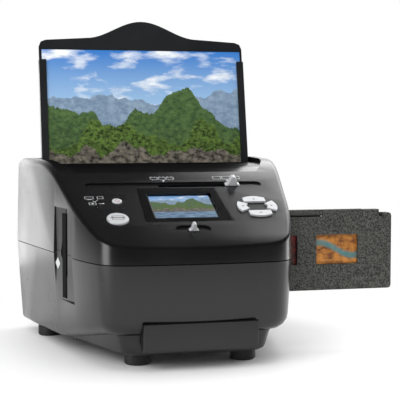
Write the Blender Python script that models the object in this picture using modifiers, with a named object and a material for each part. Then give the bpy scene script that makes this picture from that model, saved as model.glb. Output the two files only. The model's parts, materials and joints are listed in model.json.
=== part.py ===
"""Film and photo scanner.

A tapered two-part housing with a sloped control panel. A photo tray slides down into it behind the
panel, and a slide holder passes through it from side to side. Inside, one lens looks to the rear:
through the film channel at a slide lit from behind, or past it at the print in the tray.

Metres, +Z up, +Y to the rear, +X to the right as seen from the front. The scanner is drawn about
its own middle plane, and one empty then puts the origin under the centre of the object's box.
"""

from math import asin, atan, atan2, cos, hypot, pi, radians, sin, sqrt, tan

import bmesh
import bpy
from mathutils import Matrix, Vector

# General clearances and allowances
GAP = 0.0003                    # between pieces that touch
RUNNING_GAP = 0.0004            # between pieces that slide
OVERRUN = 0.004                 # how far a cutter passes the face that it opens
WALL = 0.0025                   # moulded wall of the housing
SMOOTH_ANGLE = radians(32)

# Housing plan at the parting line
PARTING_Z = 0.075
FRONT_Y = -0.098
REAR_Y = 0.125
REAR_HALF_WIDTH = 0.1148
SIDE_LEAN = radians(10.2)
BOW_RADIUS = 0.450
FRONT_CORNER_RADIUS = 0.025
SIDE_BLEND_RADIUS = 0.240       # the front corner eases into the straight side
SIDE_BLEND_TURN = radians(11)
REAR_CORNER_RADIUS = 0.014
BOW_STEPS = 4
CORNER_STEPS = 6
BLEND_STEPS = 4
REAR_STEPS = 4
SIDE_SHARES = (0.12, 0.225, 0.30, 0.365, 0.43, 0.505, 0.58, 0.67, 0.82)

# Upper housing
UPPER_DRAFT = radians(1.5)
UPPER_REAR_DRAFT = radians(8.0)
PANEL_ANGLE = radians(25.1)
LIP_Z = 0.0861                  # height of the panel plane over the front face
CROWN_Z = 0.1457
ROLL_RADIUS = 0.111             # panel rolling over into the crown
EDGE_RADIUS_FRONT = 0.0032
EDGE_RADIUS_MIDDLE = 0.0046
EDGE_RADIUS_REAR = 0.0070
EDGE_STEPS = 4
PARTING_GAP = 0.0003
PARTING_CHAMFER = 0.0005
TONGUE_INSET = 0.0015
TONGUE_HEIGHT = 0.0020
TONGUE_SPACE = 0.0003

# Lower housing
SIDE_DRAFT = radians(3.8)
FRONT_DRAFT = radians(3.0)
REAR_DRAFT = radians(6.0)
FLOOR_Z = 0.007                 # underside of the housing over the table
RIM_FRONT_Z = 0.0228            # underside of the bowl at the front
RIM_ANGLE = radians(10.4)
RIM_END_Y = 0.010               # where the rising bowl meets the flat base
BOTTOM_RADIUS_FRONT = 0.012
BOTTOM_RADIUS_MIDDLE = 0.0085
BOTTOM_RADIUS_REAR = 0.004
BOTTOM_REAR_Y = 0.070           # the radius shrinks up to here
BOTTOM_STEPS = 4
BASE_FRONT_HALF_WIDTH = 0.0520
BASE_FLARE_POWER = 1.5
BASE_EDGE = 0.0025
FILLET_SHARES = ((0.08, 0.96), (0.23, 0.79), (0.35, 0.52), (0.45, 0.26), (0.60, 0.08), (0.90, 0.0))

# Photo tray recess in the top
RECESS_DEPTH = 0.0045
RECESS_ROLL_RADIUS = 0.080
RECESS_FRONT_Y = 0.006
RECESS_REAR_Y = 0.1040
RECESS_PLAN = ((0.006, 0.0700), (0.017, 0.0776), (0.035, 0.0850), (0.060, 0.0900),
               (0.090, 0.0940), (0.104, 0.0950))
RECESS_FRONT_LIFT = 0.0008

# Side slots for the slide holder
SLOT_Y = -0.033                 # film plane
HOLDER_THICKNESS = 0.0060
HOLDER_BOTTOM_Z = 0.0437
HOLDER_HEIGHT = 0.0640
SCOOP_REAR_Y = 0.006
SCOOP_FRONT_Y = -0.0375
SCOOP_BOTTOM_Z = 0.0395
SCOOP_TOP_Z = 0.1110
SCOOP_STEP = 0.0016
SCOOP_DEPTH = 0.0048
SCOOP_WALL = 0.0022
SCOOP_EDGE_DROP = 0.0065        # distance kept under the top surface
COLLAR_DEPTH = 0.0095

# Control panel: u runs up the slope from this point, w stands out of it
PANEL_Y0 = -0.056
BEZEL_HALF_WIDTH_TOP = 0.0312
BEZEL_HALF_WIDTH_BOTTOM = 0.0334
BEZEL_U_LOW = -0.0068
BEZEL_U_HIGH = 0.0450
BEZEL_THICKNESS = 0.0013
BEZEL_SUNK = 0.0001
BEZEL_WINDOW_HALF_WIDTH = 0.0252
BEZEL_WINDOW_U_LOW = -0.0008
DISPLAY_HEIGHT = 0.0366         # 2.4 inch picture, 48.8 x 36.6
GLASS_MARGIN = 0.0015
GLASS_THICKNESS = 0.0009
MODULE_MARGIN = 0.0040
MODULE_THICKNESS = 0.0026

KNOB_SLOT_HALF_LENGTH = 0.0710
KNOB_SLOT_U = 0.0510
KNOB_SLOT_WIDTH = 0.0085
KNOB_SLOT_DEPTH = 0.0013
LIGHT_KNOB_X = 0.0470           # photo position
LIGHT_TRAVEL = 0.0550
THROUGH_SLOT_WIDTH = 0.0052

FOCUS_SLOT_HALF_LENGTH = 0.0135
FOCUS_SLOT_U = -0.0180
FOCUS_SLOT_WIDTH = 0.0100
FOCUS_SLOT_DEPTH = 0.0013
FOCUS_TRAVEL = 0.0020
FOCUS_STEM_WIDTH = 0.0030
FOCUS_THROUGH_WIDTH = 0.0034
FOCUS_KNOB_U = -0.0190

BUTTON_GAP = 0.00035
BUTTON_TRAVEL = 0.0010
BUTTON_FLANGE = 0.0007
BUTTON_FLANGE_THICKNESS = 0.0007
POWER_X, POWER_U = -0.0500, 0.0253
POWER_RADIUS = 0.0039
POWER_HEIGHT = 0.0009
SCAN_X, SCAN_U = -0.0539, -0.0022
SCAN_RADIUS = 0.0083
SCAN_HEIGHT = 0.0018
NAV_X, NAV_U = 0.0573, 0.0130
NAV_OUTER_X, NAV_OUTER_U = 0.0158, 0.0152
NAV_INNER_X, NAV_INNER_U = 0.0085, 0.0058
NAV_CHORD_HALF_WIDTH = 0.0088
NAV_CHORD_U = 0.0070
NAV_SIDE_SPAN = radians(30)
NAV_SIDE_INNER_SPAN = radians(38)
NAV_STEPS = 6
NAV_HEIGHT = 0.0013
LED_X, LED_U = -0.0668, 0.0166
LED_RADIUS = 0.0010
LED_HEIGHT = 0.0003
BOARD_THICKNESS = 0.0009
BOARD_TOP_W = -0.0054
SWITCH_RADIUS = 0.0025
SWITCH_HEIGHT = 0.0005
BOARD_U_LOW, BOARD_U_HIGH = -0.0047, 0.0293
BOARD_NOTCH_X, BOARD_NOTCH_U = 0.0455, -0.0008
BOARD_POSTS_LEFT = ((-0.0368, 0.0265), (-0.0670, -0.0010))
BOARD_POSTS_RIGHT = ((0.0368, 0.0265), (0.0698, -0.0010))

# Photo tray: v runs up the leaning tray, w stands out of its front
TRAY_LEAN = radians(11.0)
PRINT_WIDTH = 0.1778            # 7 x 5 inch print
PRINT_HEIGHT = 0.1270
PRINT_THICKNESS = 0.0003
PRINT_Y, PRINT_Z = 0.0910, 0.1148
PRINT_GAP = 0.0003
TRAY_HALF_WIDTH = 0.0915
TRAY_PLATE = 0.0022
TRAY_PLATE_INSET = 0.0003
TRAY_LIP_WIDTH = 0.00615
TRAY_LIP_THICKNESS = 0.0014
TRAY_LIP_TOP_V = 0.1180
TRAY_BACK_RIB = 0.0018
TRAY_LEDGE = 0.0044
TRAY_FRONT_LEDGE = 0.0030
TRAY_SHOULDER_V = 0.1358
TRAY_SHOULDER_RISE = 0.0022
TRAY_CORNER_RADIUS = 0.006
GRIP_HALF_WIDTH = 0.050
GRIP_HEIGHT = 0.0155
GRIP_STEPS = 12
TRAY_TRAVEL_DOWN = 0.095
MOUTH_GAP = 0.0006

GUIDE_WEB = 0.0034
GUIDE_FLANGE = 0.0015
GUIDE_REACH = 0.0060
GUIDE_FOOT_Z = 0.0111
GUIDE_TOP_SPACE = 0.0013

# Slide holder
HOLDER_LEFT_X = -0.0210
HOLDER_RIGHT_X = 0.1723
LEAF_TOP_Z = 0.1020
LEAF_TAB_LEFT_X = 0.1478
LEAF_TAB_RIGHT_X = 0.1616
LEAF_TAB_Z = 0.1072
LEAF_END_Z = 0.1045
LEAF_CORNER = 0.0025
LEAF_NOTCH_WIDTH = 0.0036       # thumb notch beside the tab, front leaf only
LEAF_NOTCH_DEPTH = 0.0032
HINGE_RADIUS = 0.0026
HINGE_PIN_RADIUS = 0.0009
HINGE_BORE_RADIUS = 0.0012
HINGE_KNUCKLES = 5
FRAME_PITCH = 0.0508
FRAME_X = 0.1263                # centre of the slide that shows
FRAME_Z = 0.07595
FRAME_COUNT = 3
FRAME_OPENING_WIDTH = 0.0350
FRAME_OPENING_HEIGHT = 0.0235
SLIDE_SIZE = 0.0500
SLIDE_THICKNESS = 0.0015
SLIDE_WINDOW_WIDTH = 0.0360
SLIDE_WINDOW_HEIGHT = 0.0240
SLIDE_FILM_THICKNESS = 0.0003
POCKET_GAP = 0.0003

# Film channel inside the housing
CHANNEL_WALL = 0.0016
CHANNEL_HALF_LENGTH = 0.0764
CHANNEL_TOP_Z = 0.1060
CHANNEL_WINDOW_HALF_WIDTH = 0.0260
CHANNEL_WINDOW_LOW_Z = 0.0560
CHANNEL_WINDOW_HIGH_Z = 0.0960
CHANNEL_LEG_X = 0.0530
CHANNEL_LEG_WIDTH = 0.0060
EAR_X = 0.0720
EAR_WIDTH = 0.0040
EAR_LOW_Z = 0.1025
EAR_HIGH_Z = 0.1110
ROD_Y, ROD_Z = -0.0220, 0.1083
ROD_RADIUS = 0.0015
ROD_HALF_LENGTH = 0.0745

# Film backlight and its lever
LIGHT_CENTRE_OFFSET = 0.0080    # panel centre beyond its knob
LIGHT_HALF_WIDTH = 0.0240
LIGHT_LOW_Z, LIGHT_HIGH_Z = 0.0510, 0.1010
LIGHT_FRONT_Y, LIGHT_REAR_Y = -0.0267, -0.0210
LIGHT_NECK_REAR_Y = -0.0237
LIGHT_NECK_LOW_Z = 0.0875
LIGHT_EYE_HALF_WIDTH = 0.0100
LIGHT_EYE_FRONT_Y, LIGHT_EYE_REAR_Y = -0.0256, -0.0184
LIGHT_EYE_LOW_Z, LIGHT_EYE_HIGH_Z = 0.1044, 0.1120
LIGHT_STEM_HALF_WIDTH = 0.0040
LIGHT_STEM_Y = -0.0100
LIGHT_STEM_THICKNESS = 0.0024
LIGHT_STEM_TOP_Z = 0.1255
LIGHT_ARM_LOW_Z = 0.1085
DIFFUSER_BORDER = 0.0030
DIFFUSER_PROUD = 0.0003
DIFFUSER_THICKNESS = 0.0010

KNOB_BASE_HALF_WIDTH = 0.0060
KNOB_TOP_HALF_WIDTH = 0.0019
KNOB_HEIGHT = 0.0080
KNOB_THICKNESS = 0.0046
KNOB_PROFILE_SHARES = ((1.0, 0.0), (1.0, 0.10), (0.72, 0.18), (0.54, 0.36), (0.45, 0.62),
                       (0.36, 0.86), (0.20, 1.0))
FOCUS_KNOB_SCALE_SHARE = 0.62

# Lens, its bracket and the focus plate
LENS_Z = 0.0760
LENS_RADIUS = 0.0090
LENS_BORE_RADIUS = 0.0055
LENS_SEAT_RADIUS = 0.0070
LENS_SEAT_DEPTH = 0.0028
LENS_FRONT_Y, LENS_REAR_Y = -0.0860, -0.0643
SLEEVE_WALL = 0.0022
SLEEVE_FRONT_Y, SLEEVE_REAR_Y = -0.0774, -0.0650
CAM_PIN_Y = -0.0680
CAM_PIN_RADIUS = 0.0013
CAM_PIN_TOP_Z = 0.0960
CAM_RATIO = 0.6                 # lens travel to lever travel
CAM_SLOT_HALF_LENGTH = 0.0046
PEDESTAL_HALF_WIDTH = 0.0190
PEDESTAL_FRONT_Y, PEDESTAL_REAR_Y = -0.0770, -0.0740
PEDESTAL_TOP_Z = 0.0640
PEDESTAL_FOOT_REAR_Y = -0.0580
PEDESTAL_FOOT_THICKNESS = 0.0025
NECK_TOP_Z = 0.0708
ARM_WIDTH = 0.0050
ARM_LOW_Z = 0.0580
SENSOR_BOARD_HALF_WIDTH = 0.0200
SENSOR_BOARD_LOW_Z, SENSOR_BOARD_HIGH_Z = 0.0575, 0.0840
SENSOR_BOARD_FRONT_Y, SENSOR_BOARD_REAR_Y = -0.0923, -0.0907
SENSOR_HALF_SIZE = 0.0050
SENSOR_THICKNESS = 0.0012
FOCUS_PLATE_HALF_WIDTH = 0.0090
FOCUS_PLATE_U_LOW, FOCUS_PLATE_U_HIGH = -0.0260, -0.0086
FOCUS_PLATE_THICKNESS = 0.0015
FOCUS_RAIL_HALF_LENGTH = 0.0140
FOCUS_RAIL_THICKNESS = 0.0013
FOCUS_RAIL_LIP = 0.0015

# Boards, lights, sockets
MAIN_BOARD_LEFT_X, MAIN_BOARD_RIGHT_X = -0.0600, 0.0860
MAIN_BOARD_FRONT_Y, MAIN_BOARD_REAR_Y = 0.0200, 0.0555
MAIN_BOARD_Z = 0.0140
PCB_THICKNESS = 0.0016
CHIP_SIZE = 0.0140
CHIP_HEIGHT = 0.0015
POST_RADIUS = 0.0030
BOARD_POST_XS = (-0.0520, 0.0560)
BOARD_POST_YS = (0.0240, 0.0515)
CARD_LEFT_X = 0.0600
CARD_FRONT_Y, CARD_REAR_Y = 0.0265, 0.0525
CARD_HEIGHT = 0.0032
CARD_SLOT_MARGIN = 0.0006
CARD_MOUTH_DEPTH = 0.0200
CARD_MOUTH_HEIGHT = 0.0024
CARD_FACE_INSET = 0.0010
LIGHT_STRIP_X = 0.0765
LIGHT_STRIP_THICKNESS = 0.0016
LIGHT_STRIP_FRONT_Y, LIGHT_STRIP_REAR_Y = 0.0123, 0.0195
LIGHT_STRIP_TOP_Z = 0.1000
LIGHT_STRIP_LEDS = 5
LED_CHIP = 0.0035
LED_CHIP_THICKNESS = 0.0010
BACK_PLATE_HALF_WIDTH = 0.0260
BACK_PLATE_LOW_Z, BACK_PLATE_HIGH_Z = 0.0180, 0.0380
BACK_PLATE_THICKNESS = 0.0020
BACK_PLATE_INSET = 0.0003
IO_BOARD_HALF_WIDTH = 0.0300
IO_BOARD_FRONT_Y, IO_BOARD_REAR_Y = 0.1092, 0.1152
IO_BOARD_Z = 0.0212
IO_LEDGE_X, IO_LEDGE_WIDTH = 0.0295, 0.0050
IO_LEDGE_THICKNESS = 0.0030
IO_LEDGE_REAR_Y = 0.1178
USB_HALF_WIDTH = 0.0038
USB_HEIGHT = 0.0040
USB_FRONT_Y, USB_REAR_Y = 0.1095, 0.1182
USB_WALL = 0.0004

# Feet, bosses and screws
FRONT_FOOT_X, FRONT_FOOT_Y = 0.0405, -0.0625
REAR_FOOT_X, REAR_FOOT_Y = 0.0885, 0.0745
REAR_SCREW_X, REAR_SCREW_Y = 0.0875, 0.0610
FOOT_LOW_Z = -0.0020
FOOT_RADIUS = 0.0098
FOOT_EDGE = 0.0012
FOOT_PLUG_RADIUS = 0.0030
FOOT_PLUG_TOP_Z = 0.0091
BOSS_RADIUS = 0.0048
WELL_RADIUS = 0.0033
LEDGE_Z = 0.0560
BOSS_TOP_Z = 0.0600
UPPER_POST_RADIUS = 0.0040
SCREW_HOLE_RADIUS = 0.00175
SCREW_RADIUS = 0.00145
SCREW_HEAD_RADIUS = 0.0029
SCREW_HEAD_HEIGHT = 0.0022
SCREW_LENGTH = 0.0130
PILOT_DEPTH = 0.0140

# Front plinth
PLINTH_HALF_WIDTH = 0.0427
PLINTH_LOW_Z, PLINTH_HIGH_Z = 0.0121, 0.0330
PLINTH_FRONT_Y, PLINTH_REAR_Y = -0.0972, -0.0863
PLINTH_EDGE = 0.0010

# Worked out from the sizes above
BRIM_X = REAR_HALF_WIDTH - REAR_Y * tan(SIDE_LEAN)      # half width where y is zero
ROLL_START_Y = FRONT_Y + (CROWN_Z - ROLL_RADIUS * (1 - cos(PANEL_ANGLE)) - LIP_Z) / tan(PANEL_ANGLE)
ROLL_END_Y = ROLL_START_Y + ROLL_RADIUS * sin(PANEL_ANGLE)
HOLDER_TOP_Z = HOLDER_BOTTOM_Z + HOLDER_HEIGHT
ORIGIN_SHIFT_Y = -(FRONT_Y + REAR_Y) / 2
WORLD = Matrix.Identity(4)


# Scene, collections and bodies
def fresh_collection(name):
    group = bpy.data.collections.new(name)
    bpy.context.scene.collection.children.link(group)
    return group


for old in list(bpy.data.objects):
    bpy.data.objects.remove(old, do_unlink=True)
PARTS = fresh_collection("film_photo_scanner")
CUTTERS = fresh_collection("cutters")
BODIES = {}
MATERIALS = {}


def body(name, location=(0.0, 0.0, 0.0), parent="scanner"):
    """Empty on the axis of one moving body."""
    empty = bpy.data.objects.new(name + "_axis", None)
    PARTS.objects.link(empty)
    place = Matrix.Translation(location)
    if parent in BODIES:
        empty.parent = BODIES[parent][0]
        empty.matrix_basis = BODIES[parent][1].inverted() @ place
    BODIES[name] = (empty, place)


def finish(name, colour, roughness, metallic=0.0):
    """Plain Principled material, made once for each finish."""
    if name not in MATERIALS:
        material = bpy.data.materials.new(name)
        material.use_nodes = True
        shader = material.node_tree.nodes["Principled BSDF"]
        shader.inputs["Base Color"].default_value = (*colour, 1.0)
        shader.inputs["Roughness"].default_value = roughness
        shader.inputs["Metallic"].default_value = metallic
        MATERIALS[name] = material
    return MATERIALS[name]


BLACK_CASE = ("case_black", (0.020, 0.020, 0.021), 0.38)
GLOSS_BLACK = ("gloss_black", (0.008, 0.008, 0.009), 0.12)
TRAY_GREY = ("tray_grey", (0.030, 0.030, 0.032), 0.45)
HOLDER_GREY = ("holder_grey", (0.045, 0.046, 0.050), 0.70)
INNER_BLACK = ("inner_black", (0.012, 0.012, 0.012), 0.60)
SILVER = ("silver_paint", (0.62, 0.63, 0.65), 0.30)
STEEL = ("steel", (0.56, 0.57, 0.58), 0.30, 1.0)
RUBBER = ("rubber", (0.015, 0.015, 0.015), 0.80)
BOARD_GREEN = ("board_green", (0.020, 0.120, 0.050), 0.45)
CLEAR = ("clear_glass", (0.70, 0.74, 0.76), 0.05)
WHITE = ("white_plastic", (0.80, 0.80, 0.78), 0.40)
PAPER = ("photo_paper", (0.25, 0.40, 0.60), 0.25)
SLIDE_MOUNT = ("slide_mount", (0.10, 0.08, 0.07), 0.50)


def node(name, mesh, look, owner="scanner", frame=WORLD, group=None):
    """Named object whose mesh is written in the given frame."""
    obj = bpy.data.objects.new(name, mesh)
    (group or PARTS).objects.link(obj)
    if look:
        mesh.materials.append(finish(*look))
    empty, place = BODIES[owner]
    obj.parent = empty
    obj.matrix_basis = place.inverted() @ frame
    return obj


def cutter(obj):
    """Turns an object into a helper for Booleans."""
    obj.hide_render = True
    obj.display_type = "WIRE"
    for group in list(obj.users_collection):
        group.objects.unlink(obj)
    CUTTERS.objects.link(obj)
    return obj


def boolean(target, tool, operation):
    step = target.modifiers.new(operation.lower() + "_" + tool.name, "BOOLEAN")
    step.operation = operation
    step.object = cutter(tool)
    step.solver = "EXACT"


def cut(target, *tools):
    for tool in tools:
        boolean(target, tool, "DIFFERENCE")


def join(target, *tools):
    for tool in tools:
        boolean(target, tool, "UNION")


def soften(obj, width, segments=1):
    """Rounded edges on a plain piece."""
    step = obj.modifiers.new("edges", "BEVEL")
    step.width = width
    step.segments = segments
    step.limit_method = "ANGLE"
    step.angle_limit = SMOOTH_ANGLE
    return obj


# Frames and plain solids
def frame_of(origin, x_axis, y_axis):
    x_axis, y_axis = Vector(x_axis), Vector(y_axis)
    z_axis = x_axis.cross(y_axis)
    turn = Matrix((x_axis, y_axis, z_axis)).transposed().to_4x4()
    return Matrix.Translation(origin) @ turn


def panel_z(y):
    return LIP_Z + (y - FRONT_Y) * tan(PANEL_ANGLE)


X_DIR, Y_DIR, Z_DIR = (1, 0, 0), (0, 1, 0), (0, 0, 1)
UP_PANEL = (0, cos(PANEL_ANGLE), sin(PANEL_ANGLE))
OUT_OF_PANEL = (0, -sin(PANEL_ANGLE), cos(PANEL_ANGLE))
UP_TRAY = (0, sin(TRAY_LEAN), cos(TRAY_LEAN))
OUT_OF_TRAY = (0, -cos(TRAY_LEAN), sin(TRAY_LEAN))
PANEL_ORIGIN = (0, PANEL_Y0, panel_z(PANEL_Y0))
TRAY_ORIGIN = (0, PRINT_Y, PRINT_Z)
PANEL = frame_of(PANEL_ORIGIN, X_DIR, UP_PANEL)             # x, u and then w
PANEL_UPRIGHT = frame_of(PANEL_ORIGIN, X_DIR, OUT_OF_PANEL)  # x, w and then minus u
TRAY = frame_of(TRAY_ORIGIN, X_DIR, UP_TRAY)                # x, v and then w
TRAY_SECTION = frame_of(TRAY_ORIGIN, OUT_OF_TRAY, X_DIR)    # w, x and then v
SIDE = frame_of((0, 0, 0), Y_DIR, Z_DIR)                    # y, z and then x
FRONT = frame_of((0, 0, 0), X_DIR, Z_DIR)                   # x, z and then minus y


def mesh_from(name, build):
    bm = bmesh.new()
    build(bm)
    bmesh.ops.recalc_face_normals(bm, faces=bm.faces)
    mesh = bpy.data.meshes.new(name)
    bm.to_mesh(mesh)
    bm.free()
    mesh.shade_smooth()
    mesh.set_sharp_from_angle(angle=SMOOTH_ANGLE)
    return mesh


def box(name, low, high, look=None, owner="scanner", frame=WORLD):
    """Box between two corners of the frame."""
    low, high = Vector(low), Vector(high)

    def build(bm):
        spread = Matrix.Diagonal((*(high - low), 1))
        bmesh.ops.create_cube(bm, size=1, matrix=Matrix.Translation((low + high) / 2) @ spread)

    return node(name, mesh_from(name, build), look, owner, frame)


def rod(name, radius, start, length, look=None, owner="scanner", frame=WORLD, axis="Z",
        segments=20, end_radius=None):
    """Cylinder or cone from a start point along one axis of the frame."""
    turn = {"Z": WORLD, "X": Matrix.Rotation(pi / 2, 4, "Y"), "Y": Matrix.Rotation(-pi / 2, 4, "X")}
    lift = Matrix.Translation(start) @ turn[axis] @ Matrix.Translation((0, 0, length / 2))

    def build(bm):
        bmesh.ops.create_cone(bm, cap_ends=True, segments=segments, radius1=radius,
                              radius2=radius if end_radius is None else end_radius,
                              depth=length, matrix=lift)

    return node(name, mesh_from(name, build), look, owner, frame)


def prism(name, outline, low, high, look=None, owner="scanner", frame=WORLD):
    """Flat outline in the frame's first two axes, extruded along its third."""
    def build(bm):
        base = bm.faces.new([bm.verts.new((*point, low)) for point in outline])
        grown = bmesh.ops.extrude_face_region(bm, geom=[base])["geom"]
        lifted = [item for item in grown if isinstance(item, bmesh.types.BMVert)]
        bmesh.ops.translate(bm, verts=lifted, vec=(0, 0, high - low))

    return node(name, mesh_from(name, build), look, owner, frame)


def turned(name, profile, look, owner="scanner", frame=WORLD, steps=20):
    """Profile of (radius, height) points turned about the frame's third axis."""
    mesh = bpy.data.meshes.new(name)
    points = [(radius, 0, height) for radius, height in profile]
    mesh.from_pydata(points, [(i, i + 1) for i in range(len(points) - 1)], [])
    obj = node(name, mesh, look, owner, frame)
    spin = obj.modifiers.new("turn", "SCREW")
    spin.steps = spin.render_steps = steps
    spin.use_merge_vertices = True
    spin.merge_threshold = 0.00001
    spin.use_smooth_shade = True
    return obj


def row_block(name, rows):
    """Block lofted along Y through rectangles of (y, x low, x high, z low, z high)."""
    def build(bm):
        rings = []
        for y, x_low, x_high, z_low, z_high in rows:
            corners = ((x_low, z_low), (x_high, z_low), (x_high, z_high), (x_low, z_high))
            rings.append([bm.verts.new((x, y, z)) for x, z in corners])
        bm.faces.new(rings[0])
        bm.faces.new(rings[-1])
        skin(bm, rings)

    return node(name, mesh_from(name, build), None)


def skin(bm, rings):
    """Faces between each ring of points and the next."""
    for near, far in zip(rings, rings[1:]):
        count = len(near)
        for i in range(count):
            j = (i + 1) % count
            bm.faces.new((near[i], near[j], far[j], far[i]))


# Housing surfaces
def lerp(a, b, share):
    return a + (b - a) * max(0.0, min(1.0, share))


def side_x(y):
    """Half width of the plan at the parting line."""
    return BRIM_X + y * tan(SIDE_LEAN)


def arc(centre, radius, start, end, steps):
    """Plan points of (x, y, inward x, inward y); the angle turns from -Y towards +X."""
    points = []
    for i in range(steps + 1):
        angle = start + (end - start) * i / steps
        out_x, out_y = sin(angle), -cos(angle)
        points.append((centre[0] + radius * out_x, centre[1] + radius * out_y, -out_x, -out_y))
    return points


def half_plan():
    """Right half of the plan outline, from the front centre to the end of the rear corner."""
    bow_y = FRONT_Y + BOW_RADIUS
    reach = BOW_RADIUS - FRONT_CORNER_RADIUS
    lean = tan(SIDE_LEAN)
    blend_turn = SIDE_LEAN + SIDE_BLEND_TURN
    shift = SIDE_BLEND_RADIUS - FRONT_CORNER_RADIUS         # between the centres of the two arcs
    inset = BRIM_X - SIDE_BLEND_RADIUS / cos(SIDE_LEAN) + shift * (cos(blend_turn) + sin(blend_turn) * lean)
    a = 1 + lean ** 2
    b = inset * lean - bow_y
    c = inset ** 2 + bow_y ** 2 - reach ** 2
    corner_y = (-b - sqrt(b ** 2 - a * c)) / a
    corner = (inset + corner_y * lean, corner_y)
    turn = atan2(corner[0], bow_y - corner_y)
    blend = (corner[0] - shift * cos(blend_turn), corner_y + shift * sin(blend_turn))
    side_turn = pi / 2 - SIDE_LEAN
    rear_y = REAR_Y - REAR_CORNER_RADIUS
    rear = (BRIM_X + rear_y * lean - REAR_CORNER_RADIUS / cos(SIDE_LEAN), rear_y)

    bow = arc((0, bow_y), BOW_RADIUS, 0, turn, BOW_STEPS)
    front = arc(corner, FRONT_CORNER_RADIUS, turn, pi / 2 - blend_turn, CORNER_STEPS)
    front += arc(blend, SIDE_BLEND_RADIUS, pi / 2 - blend_turn, side_turn, BLEND_STEPS)[1:]
    back = arc(rear, REAR_CORNER_RADIUS, side_turn, pi, REAR_STEPS)
    start, end = front[-1], back[0]
    side = [(lerp(start[0], end[0], s), lerp(start[1], end[1], s), start[2], start[3])
            for s in SIDE_SHARES]
    return bow + front[1:] + side + back


def full_ring(shape):
    """Closed ring: shape gives the point for each item of the right half."""
    right = [Vector(shape(*item)) for item in half_plan()]
    left = [Vector((-p.x, p.y, p.z)) for p in reversed(right[1:])]
    return right + left


def cap_rows(bm, ring):
    """Closes a ring by faces across it, between points that face each other."""
    count = len(ring)
    bm.faces.new((ring[0], ring[1], ring[-1]))
    for i in range(1, count // 2):
        bm.faces.new((ring[i], ring[i + 1], ring[count - i - 1], ring[count - i]))


def shell(name, rings, look):
    """Closed shell through its rings, from the outer cap over the rim to the inner cap."""
    def build(bm):
        loops = [[bm.verts.new(point) for point in ring] for ring in rings]
        skin(bm, loops)
        cap_rows(bm, loops[0])
        cap_rows(bm, loops[-1])

    return node(name, mesh_from(name, build), look)


def top_z(y):
    if y <= ROLL_START_Y:
        return panel_z(y)
    if y >= ROLL_END_Y:
        return CROWN_Z
    return CROWN_Z - ROLL_RADIUS + sqrt(ROLL_RADIUS ** 2 - (ROLL_END_Y - y) ** 2)


def top_slope(y):
    if y <= ROLL_START_Y:
        return PANEL_ANGLE
    return asin(max(0.0, ROLL_END_Y - y) / ROLL_RADIUS)


def edge_radius(y):
    if y <= ROLL_START_Y:
        share = (y - FRONT_Y) / (ROLL_START_Y - FRONT_Y)
        return lerp(EDGE_RADIUS_FRONT, EDGE_RADIUS_MIDDLE, share)
    return lerp(EDGE_RADIUS_MIDDLE, EDGE_RADIUS_REAR, (y - ROLL_START_Y) / (REAR_Y - ROLL_START_Y))


def skin_mid_z(y):
    """Height of the middle of the top wall."""
    return top_z(y) - WALL / 2 / cos(top_slope(y))


def upper_ring(depth, share):
    """Ring round the top edge: depth into the wall, share of the way round the edge's arc."""
    def shape(x, y, nx, ny):
        radius = edge_radius(y) - depth
        inset = depth
        for _ in range(3):
            end_y = y + ny * (inset + radius)
            climb = atan(tan(top_slope(end_y)) * ny)
            angle = pi / 2 - climb
            end_z = top_z(end_y) - depth / cos(top_slope(end_y))
            wall_top = end_z - radius * sin(angle)
            draft = lerp(UPPER_DRAFT, UPPER_REAR_DRAFT, -ny * abs(ny))
            inset = depth + (wall_top - PARTING_Z) * tan(draft)
        away = inset + radius * (1 - cos(angle * share))
        return x + nx * away, y + ny * away, wall_top + radius * sin(angle * share)

    return full_ring(shape)


def flat_ring(inset, z):
    return full_ring(lambda x, y, nx, ny: (x + nx * inset, y + ny * inset, z))


def upper_shell():
    bottom = PARTING_Z + PARTING_GAP / 2
    tongue_top = PARTING_Z + TONGUE_HEIGHT + TONGUE_SPACE
    shares = [1 - i / EDGE_STEPS for i in range(EDGE_STEPS + 1)]
    rings = [upper_ring(0, share) for share in shares]
    rings += [flat_ring(0, bottom), flat_ring(TONGUE_INSET - TONGUE_SPACE, bottom),
              flat_ring(TONGUE_INSET - TONGUE_SPACE, tongue_top), flat_ring(WALL, tongue_top)]
    rings += [upper_ring(WALL, share) for share in reversed(shares)]
    return shell("upper_housing", rings, BLACK_CASE)


def rim_z(y):
    return min(RIM_FRONT_Z, FLOOR_Z + max(0.0, RIM_END_Y - y) * tan(RIM_ANGLE))


def bottom_radius(y):
    if y <= RIM_END_Y:
        return lerp(BOTTOM_RADIUS_FRONT, BOTTOM_RADIUS_MIDDLE, (y - FRONT_Y) / (RIM_END_Y - FRONT_Y))
    return lerp(BOTTOM_RADIUS_MIDDLE, BOTTOM_RADIUS_REAR, (y - RIM_END_Y) / (BOTTOM_REAR_Y - RIM_END_Y))


def draft_inset(nx, ny, z):
    end_draft = FRONT_DRAFT if ny > 0 else REAR_DRAFT
    angle = SIDE_DRAFT * nx ** 2 + end_draft * ny ** 2
    return (PARTING_Z - z) * tan(angle)


def base_share(y):
    """Width of the base over the width of the bowl above it."""
    bowl = side_x(y) - draft_inset(1, 0, rim_z(y)) - bottom_radius(y)
    front = side_x(FRONT_Y) - draft_inset(1, 0, RIM_FRONT_Z) - BOTTOM_RADIUS_FRONT
    merge = side_x(RIM_END_Y) - draft_inset(1, 0, FLOOR_Z) - BOTTOM_RADIUS_MIDDLE
    share = max(0.0, min(1.0, (y - FRONT_Y) / (RIM_END_Y - FRONT_Y)))
    half = lerp(min(BASE_FRONT_HALF_WIDTH, front), merge, share ** BASE_FLARE_POWER)
    return min(1.0, half / bowl) if y < RIM_END_Y else 1.0


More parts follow.
